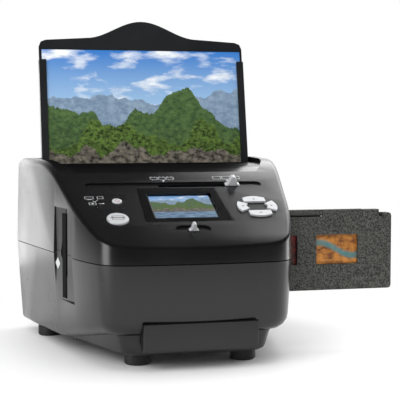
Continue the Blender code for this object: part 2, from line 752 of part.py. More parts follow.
def bowl_ring(depth, share):
    """Ring round the bowl's lower edge: share of the quarter round from wall to underside."""
    def shape(x, y, nx, ny):
        radius = bottom_radius(y) - depth * (1 if bottom_radius(y) > 2 * depth else 0.8)
        top = rim_z(y) + depth + radius
        away = depth + draft_inset(nx, ny, top) + radius * (1 - cos(share * pi / 2))
        return x + nx * away, y + ny * away, top - radius * sin(share * pi / 2)

    return full_ring(shape)


def base_ring(depth, width_share, height_share, inset=0.0):
    """Ring of the hollow flank between the bowl's underside and the base."""
    def shape(x, y, nx, ny):
        away = depth + inset + draft_inset(nx, ny, rim_z(y)) + bottom_radius(y)
        bowl_x, bowl_y = x + nx * away, y + ny * away
        narrow = bowl_x * (1 - width_share * (1 - base_share(bowl_y)))
        slip = BASE_EDGE * (width_share + inset / BASE_EDGE)
        edge = hypot(narrow, bowl_y) or 1.0
        narrow = narrow - slip * narrow / edge
        height = FLOOR_Z + depth + (rim_z(y) - FLOOR_Z) * height_share
        return narrow, bowl_y + slip * ny, height

    return full_ring(shape)


def lower_shell():
    top = PARTING_Z - PARTING_GAP / 2
    tongue_top = PARTING_Z + TONGUE_HEIGHT
    shares = [i / BOTTOM_STEPS for i in range(BOTTOM_STEPS + 1)]
    flank = [base_ring(0, width, height) for width, height in FILLET_SHARES]
    inner_flank = [base_ring(WALL, width, height) for width, height in FILLET_SHARES]
    rings = list(reversed(flank))
    rings += [bowl_ring(0, share) for share in reversed(shares)]
    rings += [flat_ring(0, top - PARTING_CHAMFER), flat_ring(PARTING_CHAMFER, top),
              flat_ring(TONGUE_INSET, top), flat_ring(TONGUE_INSET, tongue_top),
              flat_ring(WALL, tongue_top), flat_ring(WALL, top - PARTING_CHAMFER)]
    rings += [bowl_ring(WALL, share) for share in shares]
    rings += inner_flank
    return shell("lower_housing", rings, BLACK_CASE)


# Side scoops and slots for the slide holder
def scoop_ceiling(y, top):
    return min(top, top_z(y) - SCOOP_EDGE_DROP)


def scoop_depth(y):
    """Depth of the ramp under the side wall."""
    ramp_end = SLOT_Y + HOLDER_THICKNESS / 2 + RUNNING_GAP
    return lerp(SCOOP_DEPTH, SCOOP_STEP, (y - ramp_end) / (SCOOP_REAR_Y - ramp_end))


def mirrored_rows(rows, side):
    if side > 0:
        return rows
    return [(y, -x_high, -x_low, z_low, z_high) for y, x_low, x_high, z_low, z_high in rows]


def scoop_blocks(tag, side):
    """Thickening behind a scoop, the scoop itself and the slot through its collar."""
    slot_front = SLOT_Y - HOLDER_THICKNESS / 2 - RUNNING_GAP
    slot_rear = SLOT_Y + HOLDER_THICKNESS / 2 + RUNNING_GAP
    collar_x = side_x(SLOT_Y) - COLLAR_DEPTH
    outside = REAR_HALF_WIDTH + OVERRUN
    floor = SCOOP_BOTTOM_Z - SCOOP_WALL
    roof = SCOOP_TOP_Z + SCOOP_WALL

    def block_row(y, x_in):
        return (y, x_in, side_x(y) - WALL / 2 - draft_inset(1, 0, floor), floor,
                min(roof, skin_mid_z(y) - SCOOP_WALL / 2))

    front_y = SCOOP_FRONT_Y - SCOOP_WALL
    rear_y = SCOOP_REAR_Y + SCOOP_WALL
    collar_y = slot_rear + CHANNEL_WALL
    block = [block_row(front_y, collar_x),
             block_row(collar_y, collar_x),
             block_row(collar_y + GAP, side_x(slot_rear) - SCOOP_DEPTH - SCOOP_WALL),
             block_row(rear_y, side_x(rear_y) - SCOOP_STEP - SCOOP_WALL)]

    def cut_row(y, x_in):
        return y, x_in, outside, SCOOP_BOTTOM_Z, scoop_ceiling(y, SCOOP_TOP_Z)

    scoop = [cut_row(SCOOP_FRONT_Y, side_x(SCOOP_FRONT_Y) - SCOOP_STEP),
             cut_row(slot_front, side_x(slot_front) - SCOOP_DEPTH),
             cut_row(slot_rear, side_x(slot_rear) - SCOOP_DEPTH),
             cut_row(SCOOP_REAR_Y, side_x(SCOOP_REAR_Y) - SCOOP_STEP)]
    slot_top = HOLDER_TOP_Z + RUNNING_GAP
    slot = [(y, collar_x - OVERRUN, outside, HOLDER_BOTTOM_Z - RUNNING_GAP, slot_top)
            for y in (slot_front, slot_rear)]
    return (row_block("scoop_wall_" + tag, mirrored_rows(block, side)),
            row_block("scoop_cut_" + tag, mirrored_rows(scoop, side)),
            row_block("slot_cut_" + tag, mirrored_rows(slot, side)))


SIDES = (("right", 1), ("left", -1))
FRONT_PLACES = (("front_left", -FRONT_FOOT_X, FRONT_FOOT_Y), ("front_right", FRONT_FOOT_X, FRONT_FOOT_Y))
REAR_FEET = (("rear_left", -REAR_FOOT_X, REAR_FOOT_Y), ("rear_right", REAR_FOOT_X, REAR_FOOT_Y))
REAR_SCREWS = (("rear_left", -REAR_SCREW_X, REAR_SCREW_Y), ("rear_right", REAR_SCREW_X, REAR_SCREW_Y))
SCREW_PLACES = FRONT_PLACES + REAR_SCREWS       # the front screws sit above the front feet


def half_space(name, z_low, z_high):
    """Slab that keeps a helper to one side of the parting line."""
    reach = REAR_HALF_WIDTH + OVERRUN
    return box(name, (-reach, FRONT_Y - OVERRUN, z_low), (reach, REAR_Y + OVERRUN, z_high))


def trimmed(block, name, z_low, z_high):
    step = block.modifiers.new("trim", "BOOLEAN")
    step.operation = "INTERSECT"
    step.object = cutter(half_space(name, z_low, z_high))
    return block


# Lower housing
def lower_housing():
    obj = lower_shell()
    top = PARTING_Z - PARTING_GAP / 2
    for tag, side in SIDES:
        wall, scoop, slot = scoop_blocks("low_" + tag, side)
        join(obj, trimmed(wall, "low_half_" + tag, 0, top))
        cut(obj, scoop, slot)
    for tag, x, y in SCREW_PLACES:
        middle = FLOOR_Z + WALL / 2
        join(obj, rod("boss_" + tag, BOSS_RADIUS, (x, y, middle), BOSS_TOP_Z - middle))
        cut(obj, rod("well_" + tag, WELL_RADIUS, (x, y, 0), LEDGE_Z, segments=16),
            rod("hole_" + tag, SCREW_HOLE_RADIUS, (x, y, 0), BOSS_TOP_Z + OVERRUN, segments=12))
    for tag, x, y in REAR_FEET:
        cut(obj, rod("plug_hole_" + tag, FOOT_PLUG_RADIUS + GAP, (x, y, 0), FLOOR_Z + 2 * WALL, segments=16))
    for i, x in enumerate(BOARD_POST_XS):
        for j, y in enumerate(BOARD_POST_YS):
            middle = FLOOR_Z + WALL / 2
            length = MAIN_BOARD_Z - GAP - middle
            join(obj, rod(f"board_post_{i}{j}", POST_RADIUS, (x, y, middle), length, segments=12))
    for tag, side in SIDES:
        low = (side * IO_LEDGE_X - IO_LEDGE_WIDTH / 2, IO_BOARD_FRONT_Y,
               IO_BOARD_Z - GAP - IO_LEDGE_THICKNESS)
        high = (side * IO_LEDGE_X + IO_LEDGE_WIDTH / 2, IO_LEDGE_REAR_Y, IO_BOARD_Z - GAP)
        join(obj, box("io_ledge_" + tag, low, high))
    plinth_low = (-PLINTH_HALF_WIDTH - GAP, FRONT_Y - OVERRUN, PLINTH_LOW_Z - GAP)
    plinth_high = (PLINTH_HALF_WIDTH + GAP, PLINTH_REAR_Y + GAP, PLINTH_HIGH_Z + GAP)
    back_low = (-BACK_PLATE_HALF_WIDTH - GAP, IO_BOARD_REAR_Y - WALL, BACK_PLATE_LOW_Z - GAP)
    back_high = (BACK_PLATE_HALF_WIDTH + GAP, REAR_Y + OVERRUN, BACK_PLATE_HIGH_Z + GAP)
    card_z = MAIN_BOARD_Z + PCB_THICKNESS + GAP
    card_low = (MAIN_BOARD_RIGHT_X, CARD_FRONT_Y - CARD_SLOT_MARGIN, card_z - CARD_SLOT_MARGIN)
    card_high = (REAR_HALF_WIDTH + OVERRUN, CARD_REAR_Y + CARD_SLOT_MARGIN,
                 card_z + CARD_HEIGHT + CARD_SLOT_MARGIN)
    cut(obj, box("plinth_pocket", plinth_low, plinth_high), box("back_opening", back_low, back_high),
        box("card_opening", card_low, card_high))


# Upper housing
def recess_z(y):
    """Floor of the tray recess: the panel plane rolls over sooner there."""
    crest = CROWN_Z - RECESS_DEPTH
    start = FRONT_Y + (crest - RECESS_ROLL_RADIUS * (1 - cos(PANEL_ANGLE)) - LIP_Z) / tan(PANEL_ANGLE)
    end = start + RECESS_ROLL_RADIUS * sin(PANEL_ANGLE)
    if y <= start:
        return panel_z(y)
    if y >= end:
        return crest
    return crest - RECESS_ROLL_RADIUS + sqrt(RECESS_ROLL_RADIUS ** 2 - (end - y) ** 2)


def recess_half_width(y):
    for (y0, x0), (y1, x1) in zip(RECESS_PLAN, RECESS_PLAN[1:]):
        if y <= y1:
            return lerp(x0, x1, (y - y0) / (y1 - y0))
    return RECESS_PLAN[-1][1]


def recess_rows():
    """Plan stations of the recess, close together where its floor rolls over."""
    steps = 14
    return [lerp(RECESS_FRONT_Y, RECESS_REAR_Y, (i / steps) ** 1.5) for i in range(steps + 1)]


def tray_recess():
    pan, hollow = [], []
    for y in recess_rows():
        half = recess_half_width(y)
        fade = max(0.0, 1 - (y - RECESS_FRONT_Y) / (ROLL_START_Y - RECESS_FRONT_Y + OVERRUN))
        floor = recess_z(y) + RECESS_FRONT_LIFT * fade
        hollow.append((y, -half, half, floor, CROWN_Z + OVERRUN))
        pan.append((y, -half - WALL, half + WALL, floor - WALL / cos(PANEL_ANGLE), skin_mid_z(y)))
    rear = RECESS_REAR_Y + WALL
    pan.append((rear, *pan[-1][1:]))
    return row_block("recess_pan", pan), row_block("recess_cut", hollow)


def tray_mouth():
    """Slot for the tray through the recess floor."""
    front = PRINT_THICKNESS / 2 + PRINT_GAP + TRAY_LIP_THICKNESS + MOUTH_GAP
    rear = -(PRINT_THICKNESS / 2 + PRINT_GAP + TRAY_PLATE + TRAY_BACK_RIB + MOUTH_GAP)
    half = TRAY_HALF_WIDTH + MOUTH_GAP
    low = (CROWN_Z - RECESS_DEPTH - 2 * WALL - OVERRUN - PRINT_Z) / cos(TRAY_LEAN)
    high = (CROWN_Z + OVERRUN - PRINT_Z) / cos(TRAY_LEAN)
    return box("mouth_cut", (-half, low, rear), (half, high, front), frame=TRAY)


def bezel_outline(margin):
    low, high = BEZEL_U_LOW - margin, BEZEL_U_HIGH + margin
    wide, narrow = BEZEL_HALF_WIDTH_BOTTOM + margin, BEZEL_HALF_WIDTH_TOP + margin
    return ((-wide, low), (wide, low), (narrow, high), (-narrow, high))


def display_box(name, margin, w_low, w_high, look=None):
    """Plate behind the bezel's window, wider than the picture by the margin."""
    half = BEZEL_WINDOW_HALF_WIDTH + margin
    low = (-half, BEZEL_WINDOW_U_LOW - margin, w_low)
    high = (half, BEZEL_WINDOW_U_LOW + DISPLAY_HEIGHT + GLASS_MARGIN + margin, w_high)
    return box(name, low, high, look, frame=PANEL)


def stadium(name, half_length, u, width, w_low, w_high):
    """Long slot with round ends, lying across the panel."""
    radius, straight = width / 2, half_length - width / 2
    steps = 6
    outline = []
    for side in (1, -1):
        for i in range(steps + 1):
            angle = (i / steps - 0.5) * pi
            outline.append((side * (straight + radius * cos(angle)), u + side * radius * sin(angle)))
    return prism(name, outline, w_low, w_high, frame=PANEL)


def panel_box(name, x_low, x_high, u, width, w_low, w_high):
    return box(name, (x_low, u - width / 2, w_low), (x_high, u + width / 2, w_high), frame=PANEL)


def nav_outline(kind, grow):
    """Outline of one of the four keys round the centre, grown by a margin."""
    outer_x, outer_u = NAV_OUTER_X + grow, NAV_OUTER_U + grow
    if kind in ("up", "down"):
        sign = 1 if kind == "up" else -1
        half, chord = NAV_CHORD_HALF_WIDTH + grow, NAV_CHORD_U - grow
        span = asin(half / outer_x)
        points = [(-half, sign * chord), (half, sign * chord)]
        for i in range(NAV_STEPS + 1):
            angle = span - 2 * span * i / NAV_STEPS
            points.append((outer_x * sin(angle), sign * outer_u * cos(angle)))
    else:
        sign = 1 if kind == "right" else -1
        stretch = grow / outer_u
        points = []
        for i in range(NAV_STEPS + 1):
            angle = (NAV_SIDE_SPAN + stretch) * (2 * i / NAV_STEPS - 1)
            points.append((sign * outer_x * cos(angle), outer_u * sin(angle)))
        for i in range(NAV_STEPS + 1):
            angle = (NAV_SIDE_INNER_SPAN + stretch) * (1 - 2 * i / NAV_STEPS)
            points.append((sign * (NAV_INNER_X - grow) * cos(angle),
                           (NAV_INNER_U + grow) * sin(angle)))
    return [(NAV_X + x, NAV_U + u) for x, u in points]


def panel_bosses():
    """Posts under the panel that the button boards are screwed against."""
    posts = []
    for i, (x, u) in enumerate(BOARD_POSTS_LEFT + BOARD_POSTS_RIGHT):
        start = (x, u, BOARD_TOP_W + GAP)
        posts.append(rod(f"panel_post_{i}", SWITCH_RADIUS, start, -WALL / 2 - BOARD_TOP_W - GAP,
                         frame=PANEL, segments=10))
    return posts


def focus_rails():
    """Two hooked rails under the panel that carry the focus plate."""
    plate_bottom = -WALL - 2 * GAP - FOCUS_PLATE_THICKNESS
    rails = []
    for tag, edge, side in (("low", FOCUS_PLATE_U_LOW, -1), ("high", FOCUS_PLATE_U_HIGH, 1)):
        inner, outer = edge + side * GAP, edge + side * (GAP + FOCUS_RAIL_THICKNESS)
        lip, under = edge - side * FOCUS_RAIL_LIP, plate_bottom - GAP - FOCUS_RAIL_THICKNESS
        outline = ((outer, under), (outer, -WALL / 2), (inner, -WALL / 2),
                   (inner, plate_bottom - GAP), (lip, plate_bottom - GAP), (lip, under))
        frame = frame_of(PANEL_ORIGIN, UP_PANEL, OUT_OF_PANEL)
        rails.append(prism("focus_rail_" + tag, outline, -FOCUS_RAIL_HALF_LENGTH,
                           FOCUS_RAIL_HALF_LENGTH, frame=frame))
    return rails


def upper_housing():
    obj = upper_shell()
    bottom = PARTING_Z + PARTING_GAP / 2
    pan, hollow = tray_recess()
    join(obj, pan)
    scoops = [(tag, scoop_blocks("up_" + tag, side)) for tag, side in SIDES]
    for tag, (wall, _, _) in scoops:
        join(obj, trimmed(wall, "up_half_" + tag, bottom, CROWN_Z + OVERRUN))
    for tag, x, y in SCREW_PLACES:
        start = BOSS_TOP_Z + GAP
        post = rod("upper_post_" + tag, UPPER_POST_RADIUS, (x, y, start), CROWN_Z - start, segments=16)
        for vert in post.data.vertices:
            if vert.co.z > bottom:
                vert.co.z = skin_mid_z(vert.co.y)
        join(obj, post)
    join(obj, *panel_bosses(), *focus_rails())
    for _, (_, scoop, slot) in scoops:
        cut(obj, scoop, slot)
    cut(obj, hollow, tray_mouth())
    for tag, x, y in SCREW_PLACES:
        cut(obj, rod("pilot_" + tag, SCREW_HOLE_RADIUS, (x, y, BOSS_TOP_Z - OVERRUN),
                     PILOT_DEPTH + OVERRUN, segments=12))

    cut(obj, prism("bezel_seat", bezel_outline(GAP), -BEZEL_THICKNESS - BEZEL_SUNK - GAP, OVERRUN,
                   frame=PANEL))
    cut(obj, display_box("display_hole", GLASS_MARGIN + GAP, -2 * WALL, OVERRUN))
    cut(obj, stadium("knob_groove", KNOB_SLOT_HALF_LENGTH, KNOB_SLOT_U, KNOB_SLOT_WIDTH,
                     -KNOB_SLOT_DEPTH, OVERRUN))
    knob_low = LIGHT_KNOB_X - LIGHT_TRAVEL - LIGHT_STEM_HALF_WIDTH - 2 * RUNNING_GAP
    knob_high = LIGHT_KNOB_X + LIGHT_STEM_HALF_WIDTH + 2 * RUNNING_GAP
    cut(obj, panel_box("knob_slot", knob_low, knob_high, KNOB_SLOT_U - GAP, THROUGH_SLOT_WIDTH,
                       -2 * WALL, OVERRUN))
    cut(obj, stadium("focus_groove", FOCUS_SLOT_HALF_LENGTH, FOCUS_SLOT_U, FOCUS_SLOT_WIDTH,
                     -FOCUS_SLOT_DEPTH, OVERRUN))
    focus_reach = FOCUS_STEM_WIDTH / 2 + FOCUS_TRAVEL + 2 * RUNNING_GAP
    cut(obj, panel_box("focus_slot", -focus_reach, focus_reach, FOCUS_KNOB_U, FOCUS_THROUGH_WIDTH,
                       -WALL - GAP, OVERRUN))
    round_holes = (("power", POWER_X, POWER_U, POWER_RADIUS, 16), ("scan", SCAN_X, SCAN_U, SCAN_RADIUS, 24),
                   ("led", LED_X, LED_U, LED_RADIUS, 10))
    for tag, x, u, radius, segments in round_holes:
        cut(obj, rod(tag + "_hole", radius + BUTTON_GAP, (x, u, -2 * WALL), 2 * WALL + OVERRUN,
                     frame=PANEL, segments=segments))
    for kind in ("up", "down", "left", "right"):
        cut(obj, prism(f"nav_{kind}_hole", nav_outline(kind, BUTTON_GAP), -2 * WALL, OVERRUN,
                       frame=PANEL))


# Display
def display():
    seat = -BEZEL_SUNK
    frame = prism("display_bezel", bezel_outline(0), seat - BEZEL_THICKNESS, seat, GLOSS_BLACK,
                  frame=PANEL)
    cut(frame, display_box("bezel_window", 0, -2 * WALL, OVERRUN))
    glass_top = seat - BEZEL_THICKNESS - GAP
    display_box("display_window", GLASS_MARGIN, glass_top - GLASS_THICKNESS, glass_top, CLEAR)
    module_top = min(glass_top - GLASS_THICKNESS, -WALL) - GAP
    display_box("display_module", MODULE_MARGIN, module_top - MODULE_THICKNESS, module_top, INNER_BLACK)


# Buttons, each on a body of its own
def button_low_w():
    return BOARD_TOP_W + SWITCH_HEIGHT + BUTTON_TRAVEL + GAP


def round_button(name, x, u, radius, height, look, segments):
    body(name, PANEL @ Vector((x, u, 0)))
    low, flange_top = button_low_w(), -WALL - GAP
    wide = radius + BUTTON_FLANGE
    dome = height / 3
    profile = ((0, height), (radius - dome - SWITCH_HEIGHT, height - dome / 4),
               (radius - dome / 2, height - dome), (radius, height - 2 * dome),
               (radius, flange_top), (wide, flange_top), (wide, flange_top - BUTTON_FLANGE_THICKNESS),
               (radius, flange_top - BUTTON_FLANGE_THICKNESS), (SWITCH_RADIUS, low), (0, low))
    frame = PANEL @ Matrix.Translation((x, u, 0))
    turned(name, profile, look, name, frame, segments)


def nav_button(kind):
    name = "nav_button_" + kind
    outline = nav_outline(kind, 0)
    middle = sum((Vector(point) for point in outline), Vector((0, 0))) / len(outline)
    body(name, PANEL @ Vector((middle.x, middle.y, 0)))
    flange_top = -WALL - GAP
    key = prism(name, outline, flange_top - BUTTON_FLANGE_THICKNESS / 2, NAV_HEIGHT, SILVER, name, PANEL)
    flange = prism(f"nav_{kind}_flange", nav_outline(kind, BUTTON_FLANGE),
                   flange_top - BUTTON_FLANGE_THICKNESS, flange_top, frame=PANEL, owner=name)
    stem = rod(f"nav_{kind}_stem", SWITCH_RADIUS / 2, (middle.x, middle.y, button_low_w()),
               flange_top - button_low_w(), frame=PANEL, segments=10, owner=name)
    join(key, flange, stem)
    return middle


def button_board(name, inner, outer, switches):
    """Board under one side of the panel, notched round the housing's front post."""
    notch = BOARD_NOTCH_X if inner > 0 else -BOARD_NOTCH_X
    outline = ((outer, BOARD_U_LOW), (notch, BOARD_U_LOW), (notch, BOARD_NOTCH_U),
               (inner, BOARD_NOTCH_U), (inner, BOARD_U_HIGH), (outer, BOARD_U_HIGH))
    board = prism(name, outline, BOARD_TOP_W - BOARD_THICKNESS, BOARD_TOP_W, BOARD_GREEN, frame=PANEL)
    for i, (x, u) in enumerate(switches):
        join(board, rod(f"{name}_switch_{i}", SWITCH_RADIUS, (x, u, BOARD_TOP_W - BOARD_THICKNESS / 2),
                        SWITCH_HEIGHT + BOARD_THICKNESS / 2, frame=PANEL, segments=10))


def buttons():
    round_button("power_button", POWER_X, POWER_U, POWER_RADIUS, POWER_HEIGHT, SILVER, 16)
    round_button("scan_button", SCAN_X, SCAN_U, SCAN_RADIUS, SCAN_HEIGHT, SILVER, 24)
    middles = [nav_button(kind) for kind in ("up", "down", "left", "right")]
    inner = BEZEL_HALF_WIDTH_BOTTOM + GAP
    outer = NAV_X + NAV_OUTER_X - GAP
    left_switches = ((POWER_X, POWER_U), (SCAN_X, SCAN_U))
    button_board("button_board_left", -inner, -outer, left_switches)
    button_board("button_board_right", inner, outer, [(m.x, m.y) for m in middles])
    turned("status_light", ((0, LED_HEIGHT), (LED_RADIUS, 0), (LED_RADIUS, -WALL),
                            (LED_RADIUS, BOARD_TOP_W + GAP), (0, BOARD_TOP_W + GAP)),
           CLEAR, frame=PANEL @ Matrix.Translation((LED_X, LED_U, 0)), steps=10)


# Knobs and what they move
def knob(name, owner, x, u, scale, seat_w, look=SILVER):
    """Waisted finger knob, drawn across the panel and given its thickness up the slope."""
    half, height = KNOB_BASE_HALF_WIDTH * scale, KNOB_HEIGHT * (0.5 + scale / 2)
    right = [(half * side, height * rise) for side, rise in KNOB_PROFILE_SHARES]
    outline = [(x + px, seat_w + pw) for px, pw in right]
    outline += [(x - px, seat_w + pw) for px, pw in reversed(right)]
    thick = KNOB_THICKNESS * (0.4 + 0.6 * scale)
    obj = prism(name, outline, -u - thick / 2, -u + thick / 2, look, owner, PANEL_UPRIGHT)
    return soften(obj, thick / 10)


def backlight():
    centre = LIGHT_KNOB_X + LIGHT_CENTRE_OFFSET
    body("backlight", (LIGHT_KNOB_X, ROD_Y, ROD_Z))
    plate = box("backlight_carriage", (centre - LIGHT_HALF_WIDTH, LIGHT_FRONT_Y, LIGHT_LOW_Z),
                (centre + LIGHT_HALF_WIDTH, LIGHT_REAR_Y, LIGHT_HIGH_Z), INNER_BLACK, "backlight")
    eye_low, eye_high = LIGHT_KNOB_X - LIGHT_EYE_HALF_WIDTH, LIGHT_KNOB_X + LIGHT_EYE_HALF_WIDTH
    neck = box("light_neck", (eye_low, LIGHT_FRONT_Y + 2 * GAP, LIGHT_NECK_LOW_Z),
               (eye_high, LIGHT_NECK_REAR_Y, LIGHT_EYE_LOW_Z + GAP))
    eye = box("light_eye", (eye_low, LIGHT_EYE_FRONT_Y, LIGHT_EYE_LOW_Z),
              (eye_high, LIGHT_EYE_REAR_Y, LIGHT_EYE_HIGH_Z))
    stem_low, stem_high = LIGHT_KNOB_X - LIGHT_STEM_HALF_WIDTH, LIGHT_KNOB_X + LIGHT_STEM_HALF_WIDTH
    stem_rear = LIGHT_STEM_Y + LIGHT_STEM_THICKNESS / 2
    arm = box("light_arm", (stem_low, LIGHT_EYE_REAR_Y - GAP, LIGHT_ARM_LOW_Z),
              (stem_high, stem_rear, LIGHT_EYE_HIGH_Z - GAP))
    stem = box("light_stem", (stem_low + GAP, stem_rear - LIGHT_STEM_THICKNESS, LIGHT_ARM_LOW_Z + GAP),
               (stem_high - GAP, stem_rear - GAP, LIGHT_STEM_TOP_Z))
    join(plate, neck, eye, arm, stem)
    cut(plate, rod("light_bore", ROD_RADIUS + GAP, (eye_low - OVERRUN, ROD_Y, ROD_Z),
                   eye_high - eye_low + 2 * OVERRUN, axis="X", segments=14))
    low = Vector((centre - LIGHT_HALF_WIDTH + DIFFUSER_BORDER, 0, LIGHT_LOW_Z + DIFFUSER_BORDER))
    high = Vector((centre + LIGHT_HALF_WIDTH - DIFFUSER_BORDER, 0, LIGHT_HIGH_Z - DIFFUSER_BORDER))
    front, rear = LIGHT_FRONT_Y - DIFFUSER_PROUD, LIGHT_FRONT_Y - DIFFUSER_PROUD + DIFFUSER_THICKNESS
    cut(plate, box("light_pocket", (low.x - GAP, LIGHT_FRONT_Y - OVERRUN, low.z - GAP),
                   (high.x + GAP, rear + GAP, high.z + GAP)))
    box("backlight_diffuser", (low.x, front, low.z), (high.x, rear, high.z), WHITE, "backlight")
    knob("backlight_knob", "backlight", LIGHT_KNOB_X, KNOB_SLOT_U, 1.0, -KNOB_SLOT_DEPTH + GAP + GAP)
    rod("backlight_rod", ROD_RADIUS, (-ROD_HALF_LENGTH, ROD_Y, ROD_Z), 2 * ROD_HALF_LENGTH, STEEL,
        axis="X", segments=14)


def focus():
    body("focus_lever", PANEL @ Vector((0, FOCUS_KNOB_U, 0)))
    top = -WALL - 2 * GAP
    plate = box("focus_plate", (-FOCUS_PLATE_HALF_WIDTH, FOCUS_PLATE_U_LOW, top - FOCUS_PLATE_THICKNESS),
                (FOCUS_PLATE_HALF_WIDTH, FOCUS_PLATE_U_HIGH, top), STEEL, "focus_lever", PANEL)
    half = FOCUS_STEM_WIDTH / 2
    deep = FOCUS_THROUGH_WIDTH / 2 - RUNNING_GAP
    join(plate, box("focus_stem", (-half, FOCUS_KNOB_U - deep, top - FOCUS_PLATE_THICKNESS / 2),
                    (half, FOCUS_KNOB_U + deep, -FOCUS_SLOT_DEPTH + GAP), frame=PANEL))
    slant = Matrix.Translation((0, CAM_PIN_Y, 0)) @ Matrix.Rotation(-atan(CAM_RATIO), 4, "Z")
    wide = CAM_PIN_RADIUS + RUNNING_GAP
    cut(plate, box("cam_slot", (-CAM_SLOT_HALF_LENGTH, -wide, LENS_Z),
                   (CAM_SLOT_HALF_LENGTH, wide, CROWN_Z), frame=slant))
    knob("focus_knob", "focus_lever", 0, FOCUS_KNOB_U, FOCUS_KNOB_SCALE_SHARE,
         -FOCUS_SLOT_DEPTH + GAP + GAP)


def lens():
    body("lens", (0, CAM_PIN_Y, LENS_Z))
    length = LENS_REAR_Y - LENS_FRONT_Y
    barrel = rod("lens_barrel", LENS_RADIUS, (0, LENS_FRONT_Y, LENS_Z), length, INNER_BLACK, "lens",
                 axis="Y", segments=24)
    pin_low = LENS_Z + (LENS_RADIUS + LENS_BORE_RADIUS) / 2
    join(barrel, rod("cam_pin", CAM_PIN_RADIUS, (0, CAM_PIN_Y, pin_low), CAM_PIN_TOP_Z - pin_low,
                     segments=12))
    cut(barrel, rod("lens_bore", LENS_BORE_RADIUS, (0, LENS_FRONT_Y - OVERRUN, LENS_Z),
                    length + 2 * OVERRUN, axis="Y", segments=20),
        rod("lens_seat", LENS_SEAT_RADIUS, (0, LENS_REAR_Y - LENS_SEAT_DEPTH, LENS_Z),
            LENS_SEAT_DEPTH + OVERRUN, axis="Y", segments=20))
    glass = LENS_SEAT_RADIUS - GAP
    curve = LENS_SEAT_DEPTH / 2
    frame = frame_of((0, LENS_REAR_Y, LENS_Z), X_DIR, (0, 0, -1))
    turned("lens_glass", ((0, curve / 2), (glass / 2, curve / 3), (glass, -curve / 3),
                          (glass, GAP - LENS_SEAT_DEPTH), (0, GAP - LENS_SEAT_DEPTH)),
           CLEAR, "lens", frame, 20)


def optics_bracket():
    bore = LENS_RADIUS + GAP
    outer = bore + SLEEVE_WALL
    length = SLEEVE_REAR_Y - SLEEVE_FRONT_Y
    plate = box("optics_bracket", (-PEDESTAL_HALF_WIDTH, PEDESTAL_FRONT_Y, FLOOR_Z + WALL + GAP),
                (PEDESTAL_HALF_WIDTH, PEDESTAL_REAR_Y, PEDESTAL_TOP_Z), INNER_BLACK)
    foot = box("bracket_foot", (-PEDESTAL_HALF_WIDTH - GAP, PEDESTAL_FRONT_Y + GAP, FLOOR_Z + WALL + GAP),
               (PEDESTAL_HALF_WIDTH + GAP, PEDESTAL_FOOT_REAR_Y,
                FLOOR_Z + WALL + GAP + PEDESTAL_FOOT_THICKNESS))
    web = box("bracket_web", (-ARM_WIDTH / 2, PEDESTAL_REAR_Y - SLEEVE_WALL, FLOOR_Z + WALL + 2 * GAP),
              (ARM_WIDTH / 2, SLEEVE_REAR_Y - GAP, LENS_Z - bore - SLEEVE_WALL / 2))
    sleeve = rod("lens_sleeve", outer, (0, SLEEVE_FRONT_Y, LENS_Z), length, axis="Y", segments=24)
    neck = box("bracket_neck", (-LENS_RADIUS, PEDESTAL_FRONT_Y + 2 * GAP, PEDESTAL_TOP_Z - SLEEVE_WALL),
               (LENS_RADIUS, PEDESTAL_REAR_Y - GAP, NECK_TOP_Z))
    join(plate, foot, web, sleeve, neck)
    for tag, side in SIDES:
        outer_x = side * (PEDESTAL_HALF_WIDTH - GAP)
        inner_x = side * (PEDESTAL_HALF_WIDTH - ARM_WIDTH)
        low, high = min(outer_x, inner_x), max(outer_x, inner_x)
        join(plate, box("sensor_arm_" + tag, (low, SENSOR_BOARD_REAR_Y + GAP, ARM_LOW_Z),
                        (high, PEDESTAL_REAR_Y - GAP, PEDESTAL_TOP_Z - GAP)))
    cut(plate, rod("sleeve_bore", bore, (0, PEDESTAL_FRONT_Y - OVERRUN, LENS_Z),
                   SLEEVE_REAR_Y - PEDESTAL_FRONT_Y + 2 * OVERRUN, axis="Y", segments=24))
    pin_space = CAM_PIN_RADIUS + CAM_RATIO * FOCUS_TRAVEL + RUNNING_GAP
    wide = CAM_PIN_RADIUS + RUNNING_GAP
    cut(plate, box("pin_slot", (-wide, CAM_PIN_Y - pin_space, LENS_Z),
                   (wide, SLEEVE_REAR_Y + OVERRUN, CROWN_Z)))


def sensor_board():
    board = box("sensor_board", (-SENSOR_BOARD_HALF_WIDTH, SENSOR_BOARD_FRONT_Y, SENSOR_BOARD_LOW_Z),
                (SENSOR_BOARD_HALF_WIDTH, SENSOR_BOARD_REAR_Y, SENSOR_BOARD_HIGH_Z), BOARD_GREEN)
    half = SENSOR_HALF_SIZE
    join(board, box("image_sensor", (-half, SENSOR_BOARD_REAR_Y - GAP, LENS_Z - half),
                    (half, SENSOR_BOARD_REAR_Y + SENSOR_THICKNESS, LENS_Z + half)))


